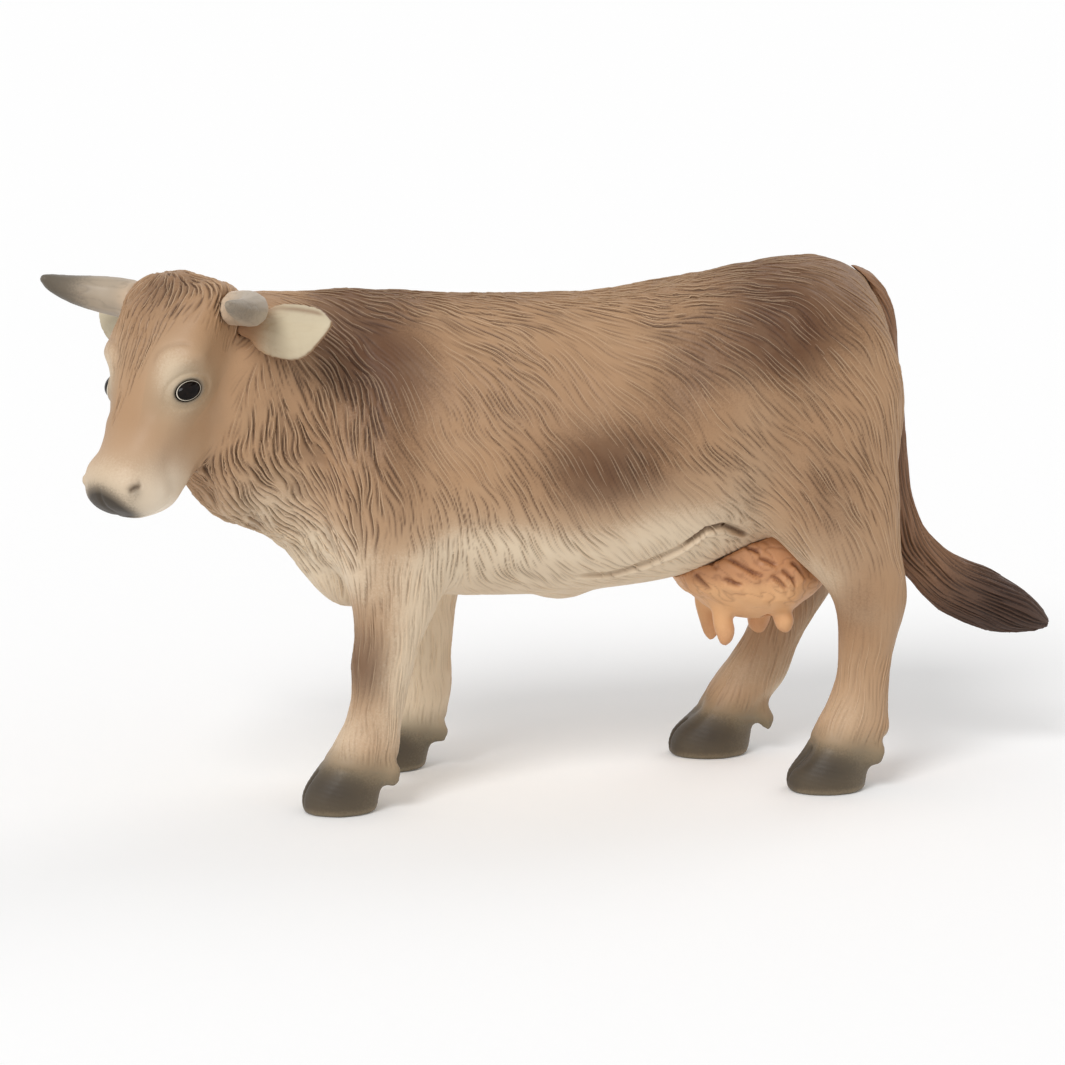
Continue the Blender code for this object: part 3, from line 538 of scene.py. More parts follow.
def hair_field(clay, smooth_zone):
    """The way of the hair, the depth of its strands and the depth of its locks, for each point."""
    points, normals = clay.points, clay.normals
    side_view = points[:, [0, 2]]
    rows = [(x, z, math.cos(math.radians(a)), -math.sin(math.radians(a))) for x, z, a in HAIR_LIE]
    lie = blended(side_view, rows, 6.5)
    ways = np.stack((lie[:, 0], np.zeros(len(points)), lie[:, 1]), axis=1)
    depth = blended(side_view, HAIR_DEPTH, 5.0)
    strand, lock = depth[:, 0], depth[:, 1]
    head = in_head(points)
    on_head = smooth_zone
    down, left = head[:, 0], head[:, 1]
    middle = left + 1.0 + 0.05 * down
    front = step(-2.0, 0.5, head[:, 2])
    ragged = lattice_noise(points, 2.4, 5)
    top = step(10.0, 2.5, down + 0.15 * np.abs(left) + 2.4 * ragged) * step(-9.0, -6.5, head[:, 2])
    forelock = step(0.6, -1.0, np.abs(middle) - 9.0 + 0.42 * down) * front
    face_hair = np.maximum(0.75 * top, forelock)
    down_face = np.broadcast_to(HEAD_AXES[0], points.shape)
    sideways = -0.06 * middle * step(2.0, 8.0, down) + 0.10 * left * step(4.0, 0.0, down)
    spread = sideways[:, None] * HEAD_AXES[1]
    crown = step(2.5, -2.0, down)[:, None] * (0.9 * HEAD_AXES[1] - 0.4 * HEAD_AXES[2])
    face_way = down_face + spread + crown
    ways = ways * (1 - on_head[:, None]) + face_way * on_head[:, None]
    strand = strand * (1 - on_head) + 0.30 * face_hair * on_head
    lock = lock * (1 - on_head) + 0.18 * top * on_head
    ways = flattened(ways, normals)
    wild = np.clip(lock / 0.3 + 1.2 * top * on_head, 0, 1)
    sway = lattice_noise(points, 9.0, 3) * 0.20 + lattice_noise(points, 3.2, 4) * (0.30 + 0.30 * wild)
    return turned(ways, normals, sway) * (1 - 0.45 * top * on_head)[:, None], strand, lock


def trace(clay, tree, places, ways, length, steps):
    """Lines that start at the places and follow the hair over the surface."""
    rows = np.array([tree.find(place)[1] for place in places])
    course = [(clay.points[rows], rows)]
    for _ in range(steps - 1):
        ahead = course[-1][0] + ways[rows] * (length / (steps - 1))[:, None]
        rows = np.array([tree.find(place)[1] for place in ahead])
        offset = ((ahead - clay.points[rows]) * clay.normals[rows]).sum(axis=1, keepdims=True)
        course.append((ahead - clay.normals[rows] * offset, rows))
    return np.stack([places for places, _ in course], axis=1)


def spaced(lines, spacing):
    """Keeps the lines that don't run over one kept before them."""
    taken, kept = set(), []
    cells = np.floor(lines / spacing).astype(int)
    for number, line in enumerate(cells.tolist()):
        own = {tuple(cell) for cell in line}
        if len(own & taken) <= 0.25 * len(own):
            taken |= own
            kept.append(number)
    return lines[kept]


STROKE_STEPS = 22
RAISED_DEPTH = 0.065


def tree_of(points):
    tree = KDTree(len(points))
    for number, point in enumerate(points.tolist()):
        tree.insert(point, number)
    tree.balance()
    return tree


def engrave(clay, tree, ways, depth, tries, length, spacing, width, seed):
    """Cuts separate hair strokes. Gives their lines, and the share of the cut at each point."""
    dice = np.random.default_rng(seed)
    places = np.where(depth > 0.04)[0]
    chosen = places[dice.integers(0, len(places), tries)]
    lengths = np.sort(length * dice.uniform(0.40, 1.45, tries))[::-1]
    lines = spaced(trace(clay, tree, clay.points[chosen], ways, lengths, STROKE_STEPS), spacing)
    size = dice.uniform(0.55, 1.15, len(lines))[:, None]
    taper = np.sin(np.linspace(0.05, 0.97, STROKE_STEPS) * math.pi) ** 0.7 * size
    heading = unit(np.gradient(lines, axis=1)).reshape(-1, 3)
    samples, taper = lines.reshape(-1, 3), taper.ravel()
    samples_tree = tree_of(samples)
    found = np.array([samples_tree.find(point)[1] for point in clay.points[places].tolist()])
    offset = clay.points[places] - samples[found]
    along = (offset * heading[found]).sum(axis=1)
    along = np.sign(along) * np.minimum(np.abs(along), length / STROKE_STEPS)
    aside = np.linalg.norm(offset - heading[found] * along[:, None], axis=1)
    far = aside / (width * (0.45 + 0.55 * taper[found]))
    amount = depth[places] * taper[found]
    groove = np.exp(-(far**2))
    lip = np.exp(-(((far - 2.1) / 0.8) ** 2))
    clay.points[places] += clay.normals[places] * (amount * (0.30 * lip - groove))[:, None]
    share = np.zeros(len(clay.points))
    share[places] = np.exp(-(far**2) * 1.7) * np.clip(taper[found] * 1.5, 0, 1) * np.clip(amount / 0.16, 0, 1)
    worn = np.array([tree.find(place)[1] for place in lines[:, ::4].reshape(-1, 3).tolist()])
    deep = depth[worn].reshape(len(lines), -1).min(axis=1) > RAISED_DEPTH
    return lines[deep], share


def comb_hair(clay, ways, strand, lock):
    """Shapes the locks and cuts the strokes over them. Gives the strokes and each point's share of cut."""
    rows = np.where(lock > 0.02)[0]
    points, way = clay.points[rows], ways[rows]
    locks = np.clip(strand_noise(points, way, 2.0, 4.5, 21, 9), -1.6, 1.6)
    valley = step(0.5, 1.5, -locks)
    clay.points[rows] += clay.normals[rows] * (lock[rows] * (0.45 * locks - 0.7 * valley))[:, None]
    clay.refresh()
    share = np.zeros(len(clay.points))
    share[rows] = 0.3 * valley * np.clip(lock[rows] / 0.3, 0, 1)
    coarse = step(0.05, 0.14, lock)
    broken = 0.45 + 0.55 * step(-0.5, 0.2, lattice_noise(clay.points, 7.0, 23))
    tree = tree_of(clay.points)
    bold, cut = engrave(clay, tree, ways, strand * coarse, 16000, 4.8, 0.60, 0.20, 24)
    fine, light = engrave(clay, tree, ways, strand * (1 - coarse) * broken, 36000, 5.2, 0.50, 0.13, 25)
    return bold, fine, np.clip(share + cut + 0.8 * light, 0, 1)


def near_head(points):
    """1 on the face and poll, falling to 0 behind the cheek, where the long hair starts."""
    head = in_head(points)
    back = -6.6 - 0.45 * np.clip(head[:, 0] - 11.0, 0, 8) + 1.2 * lattice_noise(points, 4.0, 31)
    ahead = step(-2.0, 1.5, head[:, 2] - back) * step(45.0, 38.0, head[:, 0])
    return ahead * step(16.0, 12.0, np.abs(head[:, 1]))


# Pieces


def give_values(mesh, values):
    for name, data in values.items():
        layer = mesh.attributes.new(name, "FLOAT", "POINT")
        layer.data.foreach_set("value", data.astype(np.float32))


def finished(name, mesh, material, nodes=()):
    """Puts a finished mesh in the scene as a piece of the toy."""
    obj = bpy.data.objects.new(name, mesh)
    bpy.context.scene.collection.objects.link(obj)
    mesh.materials.clear()
    mesh.materials.append(material)
    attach(obj, BODY)
    if nodes:
        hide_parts(*nodes)
    return obj


def edge_table(faces, size):
    """Each directed edge of the faces as a number, in order, and the face it belongs to."""
    keys = np.concatenate([faces[:, k].astype(np.int64) * size + faces[:, (k + 1) % 4] for k in range(4)])
    order = np.argsort(keys)
    return keys[order], np.tile(np.arange(len(faces)), 4)[order]


def closed_part(name, clay, labels, part, values, table):
    """The faces with one label as one closed mesh, with the shading of the whole skin."""
    keys, owner = table
    size = len(clay.points)
    faces = clay.faces[labels == part]
    pairs = np.concatenate([faces[:, [k, (k + 1) % 4]] for k in range(4)])
    across = labels[owner[np.searchsorted(keys, pairs[:, 1].astype(np.int64) * size + pairs[:, 0])]]
    rim, beyond = pairs[across != part], across[across != part]
    used = np.unique(faces)
    place = np.full(size, -1)
    place[used] = np.arange(len(used))
    ends = {int(label): len(used) + i for i, label in enumerate(np.unique(beyond))}
    apexes = [clay.points[np.unique(rim[beyond == label])].mean(axis=0) for label in ends]
    caps, arriving, leaving = [], {}, {}
    edge = np.unique(rim)
    inner = dict(zip(edge.tolist(), range(len(used) + len(ends), len(used) + len(ends) + len(edge))))
    for (start, end), label in zip(rim.tolist(), beyond.tolist()):
        caps.append((place[end], place[start], inner[start], inner[end]))
        caps.append((inner[end], inner[start], ends[label], -1))
        arriving.setdefault(end, []).append(ends[label])
        leaving.setdefault(start, []).append(ends[label])
    for point, comes in arriving.items():
        goes = leaving.get(point, [])
        for apex in list(comes):
            if apex in goes:
                comes.remove(apex)
                goes.remove(apex)
        caps += [(inner[point], first, second, -1) for first, second in zip(comes, goes)]
    sunk = clay.points[edge] - clay.normals[edge] * 0.9
    points = np.vstack((clay.points[used], apexes, sunk))
    mesh = new_mesh(name, points, np.concatenate((place[faces], np.array(caps))))
    extra = np.zeros(len(apexes) + len(edge))
    give_values(mesh, {key: np.append(data[used], extra) for key, data in values.items()})
    normals = np.vstack((clay.normals[used], np.tile((0, 0, 1), (len(extra), 1))))
    mesh.normals_split_custom_set_from_vertices(normals.tolist())
    return mesh


def face_owners(points, faces, nodes):
    """For each face, the number of the CAD node that it stands for, with smooth borders between them."""
    corners, triangles, owners = [], [], []
    for number, node in enumerate(nodes):
        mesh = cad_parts[node].data
        base = len(corners)
        corners += [vert.co / MM for vert in mesh.vertices]
        triangles += [[base + i for i in polygon.vertices] for polygon in mesh.polygons]
        owners += [number] * len(mesh.polygons)
    tree = BVHTree.FromPolygons(corners, triangles)
    nearest = np.array([owners[tree.find_nearest(point)[2]] for point in points.tolist()])
    claims = relaxed((nearest[:, None] == np.arange(len(nodes))).astype(float), face_edges(faces), 12)
    return claims[faces].mean(axis=1).argmax(axis=1)


# Paint


def tone(red, green, blue):
    """A colour given as it looks on a screen, from 0 to 255, as linear light."""
    parts = []
    for part in (red, green, blue):
        share = part / 255
        parts.append(share / 12.92 if share <= 0.04045 else ((share + 0.055) / 1.055) ** 2.4)
    return (*parts, 1.0)


class Signal:
    """A socket of a finish, with the arithmetic that the finishes use."""

    def __init__(self, finish, socket):
        self.finish = finish
        self.socket = socket

    def maths(self, operation, first, second):
        return self.finish.node("Math", {"operation": operation}, {0: first, 1: second})

    def __add__(self, other):
        return self.maths("ADD", self, other)

    def __radd__(self, other):
        return self.maths("ADD", other, self)

    def __sub__(self, other):
        return self.maths("SUBTRACT", self, other)

    def __rsub__(self, other):
        return self.maths("SUBTRACT", other, self)

    def __mul__(self, other):
        return self.maths("MULTIPLY", self, other)

    def __rmul__(self, other):
        return self.maths("MULTIPLY", other, self)


class Finish:
    """A painted finish: one material and the ways its parts are made."""

    def __init__(self, name, **settings):
        self.material = bpy.data.materials.new(name)
        self.material.use_nodes = True
        self.tree = self.material.node_tree
        self.shader = self.tree.nodes["Principled BSDF"]
        for key, value in settings.items():
            self.shader.inputs[key.replace("_", " ").title().replace("Ior", "IOR")].default_value = value
        self.place = self.node("TexCoord", output="Object")

    def node(self, kind, settings=None, sockets=None, output=0):
        made = self.tree.nodes.new("ShaderNode" + kind)
        for key, value in (settings or {}).items():
            setattr(made, key, value)
        for key, value in (sockets or {}).items():
            if isinstance(value, Signal):
                self.tree.links.new(value.socket, made.inputs[key])
            else:
                made.inputs[key].default_value = value
        return Signal(self, made.outputs[output])

    def value(self, name):
        return self.node("Attribute", {"attribute_name": name}, output="Fac")

    def grain(self, size, detail=2.0, roughness=0.5):
        """Noise from 0 to 1 with marks of so many millimetres."""
        sockets = {"Vector": self.place, "Scale": 1 / (size * MM), "Detail": detail, "Roughness": roughness}
        return self.node("TexNoise", None, sockets)

    def rise(self, low, high, value):
        sockets = {"Value": value, "From Min": low, "From Max": high}
        return self.node("MapRange", {"interpolation_type": "SMOOTHSTEP", "clamp": True}, sockets)

    def mix(self, under, over, share):
        """Colour over colour by a share from 0 to 1."""
        settings = {"data_type": "RGBA", "clamp_factor": True}
        return self.node("Mix", settings, {0: share, 6: under, 7: over}, output=2)

    def sprayed(self, share, grain):
        """A share whose soft edge breaks up into fine specks, as sprayed paint does."""
        return self.rise(0.25, 0.75, share + (grain - 0.5) * 0.6) * 0.35 + share * 0.65

    def set(self, key, value):
        self.tree.links.new(value.socket, self.shader.inputs[key])

    def bumps(self, height, distance):
        made = self.node(
            "Bump", None, {"Height": height, "Distance": distance * MM, "Strength": 1.0}, output="Normal"
        )
        self.set("Normal", made)


def hide_finish():
    """Sprayed tan vinyl with darker and cream areas, dark brown paint in the cut hair that is partly painted
    shade, and a paler tone on the raised strands that is partly painted highlight.
    """
    paint = Finish("hide_paint", roughness=0.52, specular_ior_level=0.35)
    speck = paint.grain(0.28, 2.0, 0.7)
    drift = paint.grain(5.5, 3.0, 0.55)
    brown = paint.sprayed(paint.value("brown") + (drift - 0.5) * 0.30, speck)
    cream = paint.sprayed(paint.value("cream") + (drift - 0.5) * 0.16, speck)
    soot = paint.sprayed(paint.value("soot"), speck)
    mist = paint.value("mist")
    cut = paint.value("cut")
    colour = paint.mix(tone(176, 139, 104), tone(92, 58, 32), brown)
    colour = paint.mix(colour, tone(226, 206, 178), cream)
    colour = paint.mix(colour, tone(250, 240, 222), paint.value("pale"))
    colour = paint.mix(colour, tone(134, 122, 98), mist)
    colour = paint.mix(colour, tone(200, 166, 130), (drift - 0.45) * 0.35)
    # Dark brown paint in the cuts, strongest at their bottoms: partly real paint, partly painted shade
    wash_and_shade = paint.mix(tone(60, 36, 22), tone(104, 72, 44), cream)
    colour = paint.mix(colour, wash_and_shade, cut * (0.72 + speck * 0.3))
    # Painted highlight: a paler dry-brush tone on the raised strands
    colour = paint.mix(colour, tone(236, 210, 178), paint.value("lip") * (0.08 + speck * 0.20))
    colour = paint.mix(colour, tone(64, 55, 44), soot)
    colour = paint.mix(colour, tone(44, 42, 42), paint.value("ink"))
    paint.set("Base Color", colour)
    paint.set("Roughness", 0.44 + speck * 0.12 + cut * 0.12)
    paint.bumps(speck * 0.6 + paint.grain(0.9, 2.0) * 0.4, 0.035)
    return paint.material


def horn_finish():
    paint = Finish("horn_paint", roughness=0.42, specular_ior_level=0.4)
    speck = paint.grain(0.3, 2.0, 0.7)
    drift = paint.grain(3.0, 3.0, 0.55)
    along = paint.value("along")
    colour = paint.mix(
        tone(204, 178, 150), tone(172, 156, 136), paint.rise(0.10, 0.45, along + (drift - 0.5) * 0.2)
    )
    colour = paint.mix(colour, tone(94, 85, 72), paint.sprayed(paint.rise(0.50, 0.98, along), speck))
    colour = paint.mix(colour, tone(96, 90, 82), paint.value("cut") * 0.4)
    paint.set("Base Color", colour)
    paint.set("Roughness", 0.36 + speck * 0.16)
    paint.bumps(speck * 0.5 + drift * 0.5, 0.03)
    return paint.material


def ear_finish():
    paint = Finish("ear_paint", roughness=0.55, specular_ior_level=0.3)
    speck = paint.grain(0.28, 2.0, 0.7)
    drift = paint.grain(2.5, 3.0, 0.55)
    inner = paint.value("inner")
    colour = paint.mix(tone(178, 142, 108), tone(203, 189, 161), paint.sprayed(inner, speck))
    colour = paint.mix(colour, tone(168, 128, 96), paint.value("root") * 0.8)
    # A brown edge along the rim, and under the rolled upper rim a dark band of painted shade
    colour = paint.mix(colour, tone(132, 98, 72), paint.value("rim") * 0.75)
    colour = paint.mix(colour, tone(170, 142, 104), paint.value("cut") * (0.4 + drift * 0.4))
    paint.set("Base Color", colour)
    paint.set("Roughness", 0.48 + speck * 0.14)
    paint.bumps(speck * 0.6 + drift * 0.4, 0.03)
    return paint.material


def udder_finish():
    paint = Finish("udder_paint", roughness=0.44, specular_ior_level=0.4)
    speck = paint.grain(0.3, 2.0, 0.7)
    drift = paint.grain(3.2, 3.0, 0.55)
    colour = paint.mix(tone(234, 186, 136), tone(214, 160, 112), drift)
    colour = paint.mix(colour, tone(186, 128, 88), paint.sprayed(paint.value("brown"), speck) * 0.8)
    # Dark paint in the wrinkles and fine cuts, partly painted shade
    colour = paint.mix(colour, tone(120, 70, 44), paint.value("cut") * 0.8)
    paint.set("Base Color", colour)
    paint.set("Roughness", 0.38 + speck * 0.14)
    paint.bumps(speck * 0.6 + drift * 0.4, 0.03)
    return paint.material


def tail_finish():
    paint = Finish("tail_paint", roughness=0.5, specular_ior_level=0.35)
    speck = paint.grain(0.28, 2.0, 0.7)
    drift = paint.grain(3.0, 3.0, 0.55)
    dark = paint.sprayed(paint.value("dark") + (drift - 0.5) * 0.2, speck)
    colour = paint.mix(tone(142, 105, 77), tone(72, 50, 38), dark)
    # Dark paint in the cut hair, partly painted shade
    colour = paint.mix(colour, tone(40, 29, 24), paint.value("cut") * 0.8)
    paint.set("Base Color", colour)
    paint.set("Roughness", 0.44 + speck * 0.14)
    paint.bumps(speck * 0.6 + drift * 0.4, 0.03)
    return paint.material


def eye_finish():
    """Black gloss with a thin pale rim, as painted eyes have."""
    paint = Finish("eye_paint", roughness=0.12, specular_ior_level=0.12)
    reach = paint.value("reach")
    fleck = paint.grain(0.5, 2.0)
    colour = paint.mix(tone(14, 10, 9), tone(40, 28, 22), paint.rise(0.3, 0.8, fleck) * 0.4)
    colour = paint.mix(
        colour, tone(226, 216, 198), paint.rise(0.90, 0.92, reach) - paint.rise(0.95, 0.97, reach)
    )
    paint.set("Base Color", colour)
    paint.set("Roughness", 0.08 + fleck * 0.08)
    paint.bumps(fleck, 0.004)
    return paint.material


# Raised strands of hair


def strand_tree(name):
    """Turns lines into closed tapered strands, with named inputs for how thick and how fine they are."""
    tree = bpy.data.node_groups.new(name, "GeometryNodeTree")
    face = tree.interface
    face.new_socket("Lines", in_out="INPUT", socket_type="NodeSocketGeometry")
    for key, kind in (
        ("Thickness", "NodeSocketFloat"), ("Steps", "NodeSocketInt"), ("Sides", "NodeSocketInt"),
        ("Seed", "NodeSocketInt")
    ):
        face.new_socket(key, in_out="INPUT", socket_type=kind)
    face.new_socket("Paint", in_out="INPUT", socket_type="NodeSocketMaterial")
    face.new_socket("Strands", in_out="OUTPUT", socket_type="NodeSocketGeometry")

    def node(kind, sockets=None, **settings):
        made = tree.nodes.new(kind)
        for key, value in settings.items():
            setattr(made, key, value)
        for key, value in (sockets or {}).items():
            if isinstance(value, bpy.types.NodeSocket):
                tree.links.new(value, made.inputs[key])
            else:
                made.inputs[key].default_value = value
        return made

    given = node("NodeGroupInput").outputs
    curve = node("GeometryNodeMeshToCurve", {0: given["Lines"]}).outputs[0]
    curve = node("GeometryNodeResampleCurve", {0: curve, "Count": given["Steps"]}).outputs[0]
    along = node("GeometryNodeSplineParameter").outputs["Factor"]
    back = node("ShaderNodeMath", {0: 1.03, 1: along}, operation="SUBTRACT").outputs[0]
    ahead = node("ShaderNodeMath", {0: along, 1: 0.03}, operation="ADD").outputs[0]
    swell = node("ShaderNodeMath", {0: ahead, 1: back}, operation="MULTIPLY").outputs[0]
    swell = node("ShaderNodeMath", {0: swell, 1: 0.6}, operation="POWER").outputs[0]
    place = node("GeometryNodeInputPosition").outputs[0]
    uneven = node(
        "ShaderNodeTexNoise", {"Vector": place, "W": given["Seed"], "Scale": 260.0}, noise_dimensions="4D"
    ).outputs[0]
    uneven = node("ShaderNodeMath", {0: uneven, 1: 3.4}, operation="MULTIPLY").outputs[0]
    size = node("ShaderNodeMath", {0: swell, 1: uneven}, operation="MULTIPLY").outputs[0]
    size = node("ShaderNodeMath", {0: size, 1: given["Thickness"]}, operation="MULTIPLY").outputs[0]
    ring = node("GeometryNodeCurvePrimitiveCircle", {"Resolution": given["Sides"], "Radius": 1.0}).outputs[0]
    tube = node("GeometryNodeCurveToMesh", {0: curve, 1: ring, "Scale": size, "Fill Caps": True}).outputs[0]
    tube = node("GeometryNodeSetShadeSmooth", {0: tube}).outputs[0]
    tube = node("GeometryNodeRealizeInstances", {0: tube}).outputs[0]
    tube = node("GeometryNodeSetMaterial", {0: tube, "Material": given["Paint"]}).outputs[0]
    node("NodeGroupOutput", {0: tube})
    return tree


def raised_strands(name, lines, tree_name, paint, thickness, steps, sides, seed, clay, values):
    """Strands along the lines as one piece, painted with the given values of the points under them; the
    callers give them a paler painted highlight.
    """
    count = lines.shape[1]
    points = lines.reshape(-1, 3) * MM
    starts = (np.arange(len(lines)) * count)[:, None] + np.arange(count - 1)
    edges = np.stack((starts, starts + 1), axis=-1).reshape(-1, 2)
    mesh = bpy.data.meshes.new(name)
    mesh.from_pydata(points.tolist(), edges.tolist(), [])
    obj = bpy.data.objects.new("work", mesh)
    bpy.context.scene.collection.objects.link(obj)
    tree = strand_tree(tree_name)
    modifier = obj.modifiers.new("strands", "NODES")
    modifier.node_group = tree
    named = {item.name: item.identifier for item in tree.interface.items_tree if item.in_out == "INPUT"}
    for key, value in (
        ("Thickness", thickness * MM), ("Steps", steps), ("Sides", sides), ("Seed", seed), ("Paint", paint)
    ):
        modifier[named[key]] = value
    made = bpy.data.meshes.new_from_object(obj.evaluated_get(bpy.context.evaluated_depsgraph_get()))
    bpy.data.objects.remove(obj)
    made.name = name
    places = np.empty(len(made.vertices) * 3)
    made.vertices.foreach_get("co", places)
    under = tree_of(clay.points)
    rows = np.array([under.find(place)[1] for place in (places.reshape(-1, 3) / MM).tolist()])
    give_values(made, {key: data[rows] for key, data in values.items()})
    return finished(name, made, paint)


def beside(lines, clay, tree, gap, sink):
    """Lines moved sideways by the gap and laid on the surface, sunk a little."""
    flat = lines.reshape(-1, 3)
    rows = np.array([tree.find(place)[1] for place in flat.tolist()])
    heading = unit(np.gradient(lines, axis=1)).reshape(-1, 3)
    moved = flat + np.cross(clay.normals[rows], heading) * gap
    rows = np.array([tree.find(place)[1] for place in moved.tolist()])
    offset = ((moved - clay.points[rows]) * clay.normals[rows]).sum(axis=1, keepdims=True)
    return (moved - clay.normals[rows] * (offset + sink)).reshape(lines.shape)


# The hide: body, neck, head and legs as one surface

HEAD_BROWN = [
    (1.0, 0.0, 3.0, 5.0, 8.0, 6.0, 0.50), (8.5, -1.0, 4.0, 6.0, 7.0, 3.5, 0.24),
    (20.5, 3.6, 3.0, 4.0, 3.0, 3.5, 0.14),
    (20.5, -3.6, 3.0, 4.0, 3.0, 3.5, 0.14), (16.0, 8.5, -7.0, 6.0, 4.0, 4.0, 0.04),
    (16.0, -8.5, -7.0, 6.0, 4.0, 4.0, 0.04),
]
HEAD_CREAM = [
    (30.5, 0.0, 0.5, 5.0, 8.0, 7.0, 1.00), (28.0, 0.0, -6.5, 5.5, 7.0, 6.0, 0.95),
    (12.6, 5.8, 2.8, 3.6, 3.0, 3.6, 0.52),
    (12.6, -5.8, 2.8, 3.6, 3.0, 3.6, 0.52), (16.0, 7.2, 1.0, 4.6, 4.0, 4.6, 0.42),
    (16.0, -7.2, 1.0, 4.6, 4.0, 4.6, 0.42),
]
CHIN_PALE = [(30.0, 4.5, -4.5, 5.5, 4.5, 5.5, 0.60), (30.0, -4.5, -4.5, 5.5, 4.5, 5.5, 0.60)]
NOSE_SOOT = [
    (31.8, -0.4, 2.2, 2.6, 3.6, 3.4, 1.30), (33.2, -0.4, -0.6, 1.8, 4.4, 3.4, 1.15),
    (29.9, 4.6, 2.0, 1.3, 0.9, 1.3, 0.30),
    (29.9, -4.6, 2.0, 1.3, 0.9, 1.3, 0.30),
]
# The flank fold: x, distance from the mid-plane and z. A ridge runs under a crease that carries dark paint as
# painted shade.
FOLD_PATH = [
    (-1.6, 13.3, 31.0), (5.1, 12.8, 31.7), (9.8, 13.4, 33.2),
    (14.5, 14.2, 35.4), (17.8, 15.1, 38.0), (20.4, 14.1, 38.3),
    (22.8, 12.2, 37.0), (25.4, 10.4, 35.2),
]


def hide_values(clay, on_head, cut):
    """How far each paint covers each point."""
    points, normals = clay.points, clay.normals
    side_view = points[:, [0, 2]]
    head = in_head(points)
    brown = patches(side_view, BROWN_PATCHES) * (1 - on_head) + patches(head, HEAD_BROWN) * on_head
    cream = patches(side_view, CREAM_PATCHES)
    inward = -normals[:, 1] * np.sign(points[:, 1] - MIDDLE_Y)
    below = step(46, 30, points[:, 2])
    inner_side = 0.8 * step(0.0, 0.6, inward) * step(10, -10, points[:, 0])
    cream += below * (0.6 * step(0.0, 0.8, -normals[:, 2]) + inner_side)
    cream = cream * (1 - on_head) + patches(head, HEAD_CREAM) * on_head
    soot = patches(head, NOSE_SOOT)
    mist = np.zeros(len(points))
    for x, y in FEET.values():
        near = (np.abs(points - (x, y, 6)) < (11, 8, 12)).all(axis=1)
        ahead, up = points[near][:, 0] - x, points[near][:, 2]
        core = np.exp(-(((ahead + 1.8) / 4.4) ** 2) - ((up - 4.4) / 2.8) ** 2)
        toe = np.exp(-(((ahead + 6.6) / 1.6) ** 2)) * step(7.0, 4.0, up)
        sole = step(1.3, 0.3, up)
        horn = 0.62 * step(9.4, 3.0, up + 0.12 * ahead) - 0.10 * step(1.0, 5.0, ahead)
        soot[near] = np.maximum(soot[near], horn + 0.40 * core + 0.3 * toe - 0.25 * sole)
        mist[near] = np.maximum(0.85 * step(10.6, 5.2, up + 0.12 * ahead), 0.9 * sole)
    ink = np.zeros(len(points))
    for side in (-1, 1):
        reach, depth = eye_reach(points, side)
        close = np.abs(depth) < 3.5
        mist[close] += (0.62 * np.exp(-((reach / 2.5) ** 2)))[close]
        ink[close] += (0.70 * np.exp(-(((reach - 1.04) / 0.22) ** 2)))[close]
        ink += patches(head, [(29.4, side * 4.6, 2.3, 0.9, 0.7, 0.9, 0.35)])
    values = {
        "brown": brown, "cream": cream, "soot": soot, "mist": mist, "ink": ink,
        "pale": patches(head, CHIN_PALE)
    }
    values = {name: np.clip(data, 0, 1) for name, data in values.items()}
    values["cut"] = np.maximum(cut, clay.wash_and_shade)
    return values


